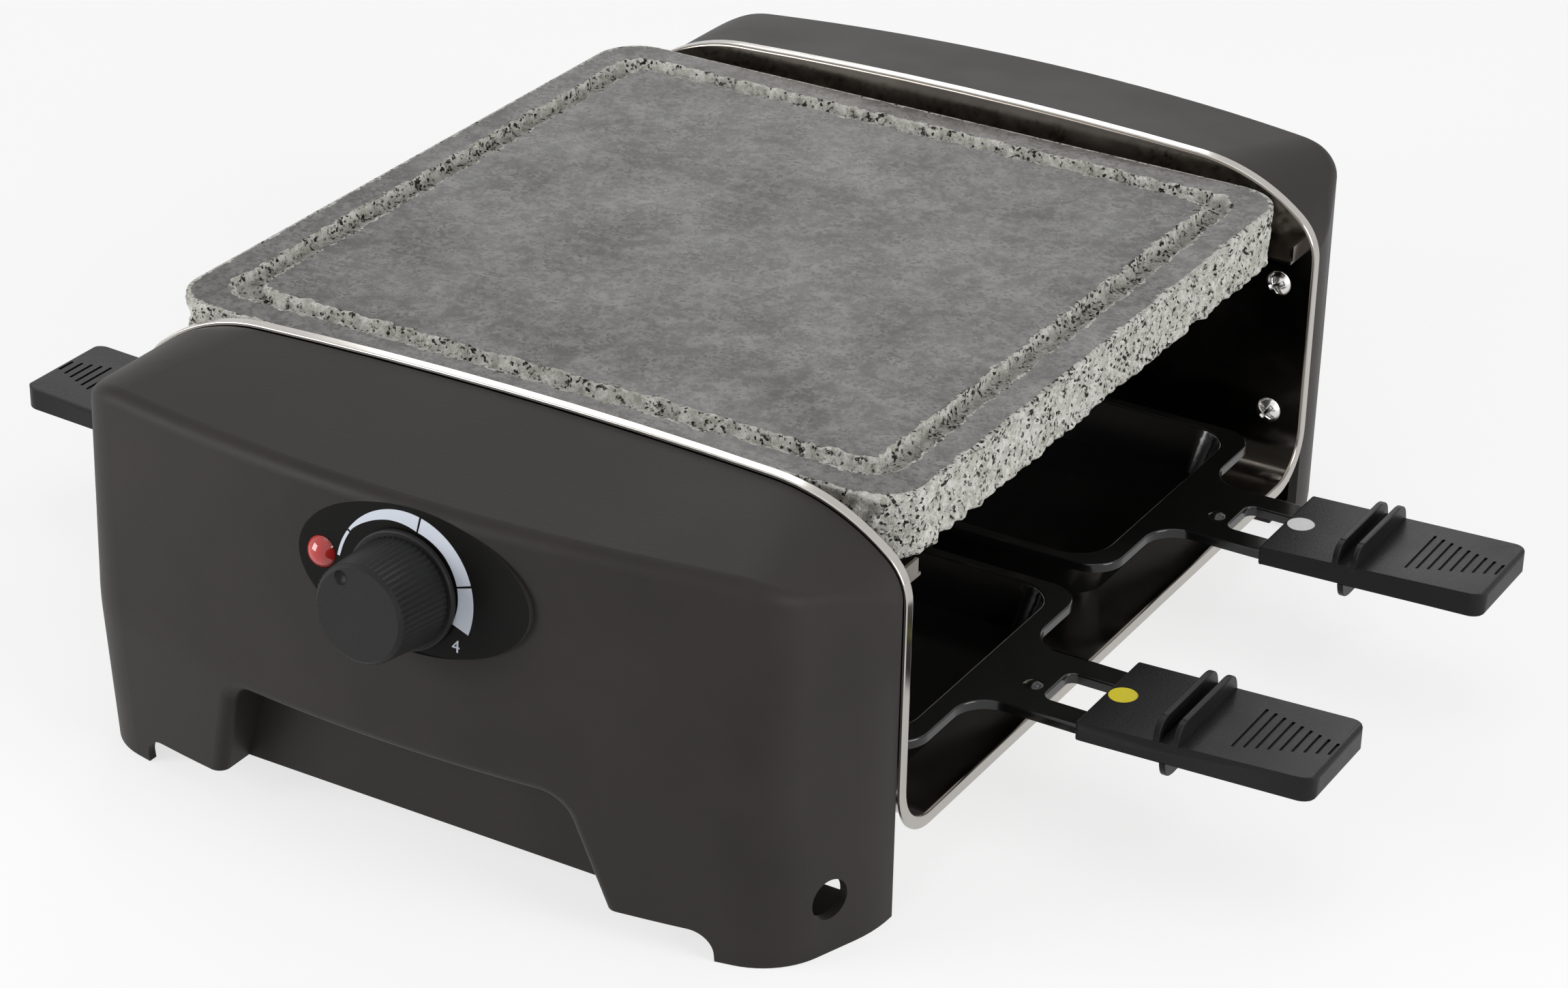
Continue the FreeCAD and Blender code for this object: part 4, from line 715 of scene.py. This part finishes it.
dial = {"knob": (5.0, -154.0979, 79.5), "lean": 4.8645, "outer": 19.0, "lift": 0.12,
        "angles": (170, 165, 144, 127, 116, 105, 78, 46, 16, 0, -17, -20),
        "inner": (18.3, 18.2, 18.3, 17.3, 16.8, 16.4, 15.2, 15.4, 15.1, 14.8, 14.3, 14.2),
        "ticks": (147.0, 78.0, 17.0), "tickHalf": 0.9, "ends": (170.0, -20.0), "step": 1.5, "rows": 4,
        "numeral": "4", "numeralAt": (14.6, -10.3), "numeralSize": 4.4}
lean = math.radians(dial["lean"])
dialRight = np.array([1.0, 0, 0])
dialOut = np.array([0, -math.cos(lean), math.sin(lean)])
dialUp = np.array([0, math.sin(lean), math.cos(lean)])


def onDial(u, v, lift):
    # Points u mm to the right and v mm up from the knob's axis, lift mm in front of the dial plane
    u, v = np.asarray(u, float), np.asarray(v, float)
    return np.array(dial["knob"]) + u[..., None] * dialRight + v[..., None] * dialUp + dialOut * lift


def makeDialBand():
    # Printed band: polar grids between the inner and outer radius, one for each run between two ticks
    edges = [dial["ends"][0]]
    for tick in dial["ticks"]:
        edges += [tick + dial["tickHalf"], tick - dial["tickHalf"]]
    edges.append(dial["ends"][1])
    points, faces, count = [], [], 0
    for a0, a1 in zip(edges[::2], edges[1::2]):
        a = np.linspace(a0, a1, max(4, int(abs(a1 - a0) / dial["step"])))
        inner = np.interp(-a, -np.array(dial["angles"], float), dial["inner"])
        share = np.linspace(0, 1, dial["rows"])[:, None]
        r = inner + (dial["outer"] - inner) * share
        t = np.radians(a)[None, :]
        grid = onDial(r * np.cos(t), r * np.sin(t), dial["lift"])
        points.append(grid.reshape(-1, 3))
        faces.append(gridFaces(dial["rows"], len(a), False) + count)
        count += grid.shape[0] * grid.shape[1]
    band = makePiece("dialBand", np.concatenate(points), np.concatenate(faces), "print", "housing", False)
    thick = band.modifiers.new("paint", "SOLIDIFY")
    thick.thickness = dial["lift"] * mm * 0.9
    thick.offset = -1
    return band


band = makeDialBand()


def makeNumeral():
    # A plain numeral at the band's last end, where the dial is hottest
    curve = bpy.data.curves.new("dialNumeral", "FONT")
    curve.body = dial["numeral"]
    curve.size = dial["numeralSize"] * mm
    curve.align_x = "CENTER"
    curve.align_y = "CENTER"
    curve.extrude = dial["lift"] * mm * 0.4
    text = bpy.data.objects.new("numeralText", curve)
    bpy.context.scene.collection.objects.link(text)
    mesh = bpy.data.meshes.new_from_object(text.evaluated_get(bpy.context.evaluated_depsgraph_get()))
    bpy.data.objects.remove(text)
    at = onDial(*dial["numeralAt"], dial["lift"] * 0.5)
    turn = Matrix((Vector(dialRight), Vector(dialUp), Vector(dialOut))).transposed().to_4x4()
    mesh.transform(Matrix.Translation(Vector(at) * mm) @ turn)
    mesh.materials.clear()
    mesh.materials.append(materials["print"])
    piece = bpy.data.objects.new("dialNumeral", mesh)
    bpy.context.scene.collection.objects.link(piece)
    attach(piece, "housing")
    return piece


numeral = makeNumeral()
print("dial printed")

# The cross recess is half as deep as the head is high; its half width and reach go with the head's radius
screw = {"headR": 3.6, "headH": 2.2, "shankR": 1.6, "length": 9.0, "crossHalf": 0.55 / 3.6,
         "crossReach": 2.15 / 3.6, "crossDepth": 0.5, "x": 98.5, "y": 109.7, "z": (36.6, 74.5)}
coverScrew = {"x": 78.0, "y": (120.0, 137.0), "z": 8.0, "headR": 3.0, "headH": 1.8, "length": 7.0}


def screwSurface(headR, headH, length):
    # Domed head with a cross recess, then the shank, as a surface of (distance along the profile, angle)
    # The dome is a circle's arc; in the recess the height drops with a steep, smooth wall
    ballR = (headR ** 2 + headH ** 2) / (2 * headH)
    a = np.linspace(0, 2 * math.pi, 96, endpoint=False)[None, :]
    r = np.linspace(0, headR, 34)[:, None]
    h = np.sqrt(ballR ** 2 - r ** 2) - (ballR - headH) + 0 * a
    x, y = r * np.cos(a), r * np.sin(a)

    def bar(p, q):
        across = np.clip((screw["crossHalf"] * headR - np.abs(p)) / 0.18 + 0.5, 0, 1)
        lengthwise = np.clip((screw["crossReach"] * headR - np.abs(q)) / 0.5 + 0.5, 0, 1)
        return across * lengthwise

    h = h - screw["crossDepth"] * headH * np.maximum(bar(x, y), bar(y, x))
    shankR = screw["shankR"]
    tail = [(headR, -0.0), (shankR, 0.0), (shankR, -0.5 * length), (shankR, -length), (0.0, -length)]
    tailR = np.array([p[0] for p in tail])[:, None]
    tailH = np.array([p[1] for p in tail])[:, None]
    x = np.concatenate([x, tailR * np.cos(a)])
    y = np.concatenate([y, tailR * np.sin(a)])
    h = np.concatenate([h, tailH + 0 * a])
    return np.stack([x, y, h], -1)


def placeScrews(name, seats, sizes, replaced):
    # Copies of one screw at their seats, each turned on its axis by another angle
    surface = screwSurface(sizes["headR"], sizes["headH"], sizes["length"])
    rows, cols = surface.shape[:2]
    points, faces = [], []
    firstTurn, nextTurn = 0.7, 1.13
    for n, (seat, axis) in enumerate(seats):
        axis = np.array(axis, float)
        side = np.cross(axis, [0.3, 0.2, 0.93])
        side /= np.linalg.norm(side)
        other = np.cross(axis, side)
        t = firstTurn + nextTurn * n
        u = side * math.cos(t) + other * math.sin(t)
        v = other * math.cos(t) - side * math.sin(t)
        points.append((np.array(seat) + surface[..., :1] * u + surface[..., 1:2] * v
                       + surface[..., 2:] * axis).reshape(-1, 3))
        faces.append(gridFaces(rows, cols, True) + n * rows * cols)
    piece = makePiece(name, np.concatenate(points), np.concatenate(faces), "screw", "housing")
    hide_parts(replaced)
    return piece


tubSeats = [((x * screw["x"], y * screw["y"] + tubMidY, z), (0, -y, 0))
            for y in (-1, 1) for x in (-1, 1) for z in screw["z"]]
placeScrews("tubScrews", tubSeats, screw, "tub_screws")
coverSeats = [((x * coverScrew["x"], tubMidY - y, coverScrew["z"]), (0, 0, -1))
              for x in (-1, 1) for y in coverScrew["y"]]
placeScrews("coverScrews", coverSeats, coverScrew, "cover_screws")
print("screws made")

# Leg plates of painted shade: each leg is closed at the bottom by a dark plate as thick as the shell, seen
# through the cord hole, which stands in for the shade inside the leg
legShadePlate = {"x0": 84.3, "x1": 100.0, "fromTub": 113.5, "depth": 22.0, "z0": 0.2, "z1": 2.6}


def makeLegShadePlate(name, side, end):
    # Box between x0 and x1 on one side, going depth outwards from the casing's back plane
    corners = np.array([(x, y, z) for z in (legShadePlate["z0"], legShadePlate["z1"])
                        for y in (legShadePlate["fromTub"], legShadePlate["fromTub"] + legShadePlate["depth"])
                        for x in (legShadePlate["x0"], legShadePlate["x1"])])
    corners = corners * (side, end, 1) + (0, tubMidY, 0)
    faces = np.array([(0, 2, 3, 1), (4, 5, 7, 6), (0, 1, 5, 4), (1, 3, 7, 5), (3, 2, 6, 7), (2, 0, 4, 6)])
    faces = faces if side * end > 0 else faces[:, ::-1]
    return makePiece(name, corners, faces, "casing", "housing", smooth=False)


for endName, end in (("front", -1), ("rear", 1)):
    for sideName, side in (("left", -1), ("right", 1)):
        makeLegShadePlate("legShadePlate_" + endName + "_" + sideName, side, end)
print("leg floors made")

# Floor, light and background, in metres; each lamp has its place, width and power in watts
light = {"key": ((-0.75, -0.85, 0.34), 0.6, 9.0), "fill": ((1.3, -0.2, 0.55), 0.7, 12.0),
         "rim": ((-0.95, 1.75, 1.3), 0.9, 6.5), "top": ((0.1, 0.1, 1.7), 1.2, 3.0), "aim": (0.0, 0.0, 0.06),
         "world": 0.34}
ground = {"half": 6, "drop": 0.0002, "grey": 0.84, "rough": 0.9, "white": 0.72}


def makeStage():
    # Pale floor that keeps its shadow; to the camera and in reflections it is partly plain white
    mesh = bpy.data.meshes.new("floor")
    corners = [(x * ground["half"], y * ground["half"], 0) for x, y in ((-1, -1), (1, -1), (1, 1), (-1, 1))]
    mesh.from_pydata(corners, [], [(0, 1, 2, 3)])
    floor = bpy.data.objects.new("floor", mesh)
    floor.location.z = -ground["drop"]
    bpy.context.scene.collection.objects.link(floor)
    mat, tree, shader = startMaterial("paleFloor")
    path = tree.nodes.new("ShaderNodeLightPath")
    seen = mathNode(tree, "ADD", path.outputs["Is Camera Ray"], path.outputs["Is Glossy Ray"], True)
    grey = (ground["grey"],) * 3
    tree.links.new(mixColour(tree, seen, grey, (1.0, 1.0, 1.0)), shader.inputs["Base Color"])
    shader.inputs["Roughness"].default_value = ground["rough"]
    bare = tree.nodes.new("ShaderNodeEmission")
    bare.inputs["Color"].default_value = (1, 1, 1, 1)
    bare.inputs["Strength"].default_value = 1
    mix = tree.nodes.new("ShaderNodeMixShader")
    tree.links.new(mathNode(tree, "MULTIPLY", seen, ground["white"]), mix.inputs[0])
    tree.links.new(shader.outputs[0], mix.inputs[1])
    tree.links.new(bare.outputs[0], mix.inputs[2])
    tree.links.new(mix.outputs[0], tree.nodes["Material Output"].inputs["Surface"])
    mesh.materials.append(mat)
    return floor


def makeLights():
    # Four soft lamps, and a world that is white to look at but gives only a little light
    for name in ("key", "fill", "rim", "top"):
        at, size, power = light[name]
        data = bpy.data.lights.new(name, "AREA")
        data.shape = "SQUARE"
        data.size = size
        data.energy = power
        lamp = bpy.data.objects.new(name, data)
        lamp.location = at
        lamp.rotation_euler = (Vector(light["aim"]) - Vector(at)).to_track_quat("-Z", "Y").to_euler()
        bpy.context.scene.collection.objects.link(lamp)
    world = bpy.data.worlds.new("studio")
    bpy.context.scene.world = world
    world.use_nodes = True
    tree = world.node_tree
    tree.nodes.clear()
    out = tree.nodes.new("ShaderNodeOutputWorld")
    path = tree.nodes.new("ShaderNodeLightPath")
    seen = mathNode(tree, "ADD", path.outputs["Is Camera Ray"], path.outputs["Is Glossy Ray"], True)
    seen = mathNode(tree, "ADD", seen, path.outputs["Is Transmission Ray"], True)
    mix = tree.nodes.new("ShaderNodeMixShader")
    soft = tree.nodes.new("ShaderNodeBackground")
    soft.inputs["Color"].default_value = (1, 1, 1, 1)
    soft.inputs["Strength"].default_value = light["world"]
    white = tree.nodes.new("ShaderNodeBackground")
    white.inputs["Color"].default_value = (1, 1, 1, 1)
    white.inputs["Strength"].default_value = 1
    tree.links.new(seen, mix.inputs[0])
    tree.links.new(soft.outputs[0], mix.inputs[1])
    tree.links.new(white.outputs[0], mix.inputs[2])
    tree.links.new(mix.outputs[0], out.inputs[0])


makeStage()
makeLights()
view = bpy.context.scene.view_settings
view.view_transform = "Standard"
print("stage and lights made")
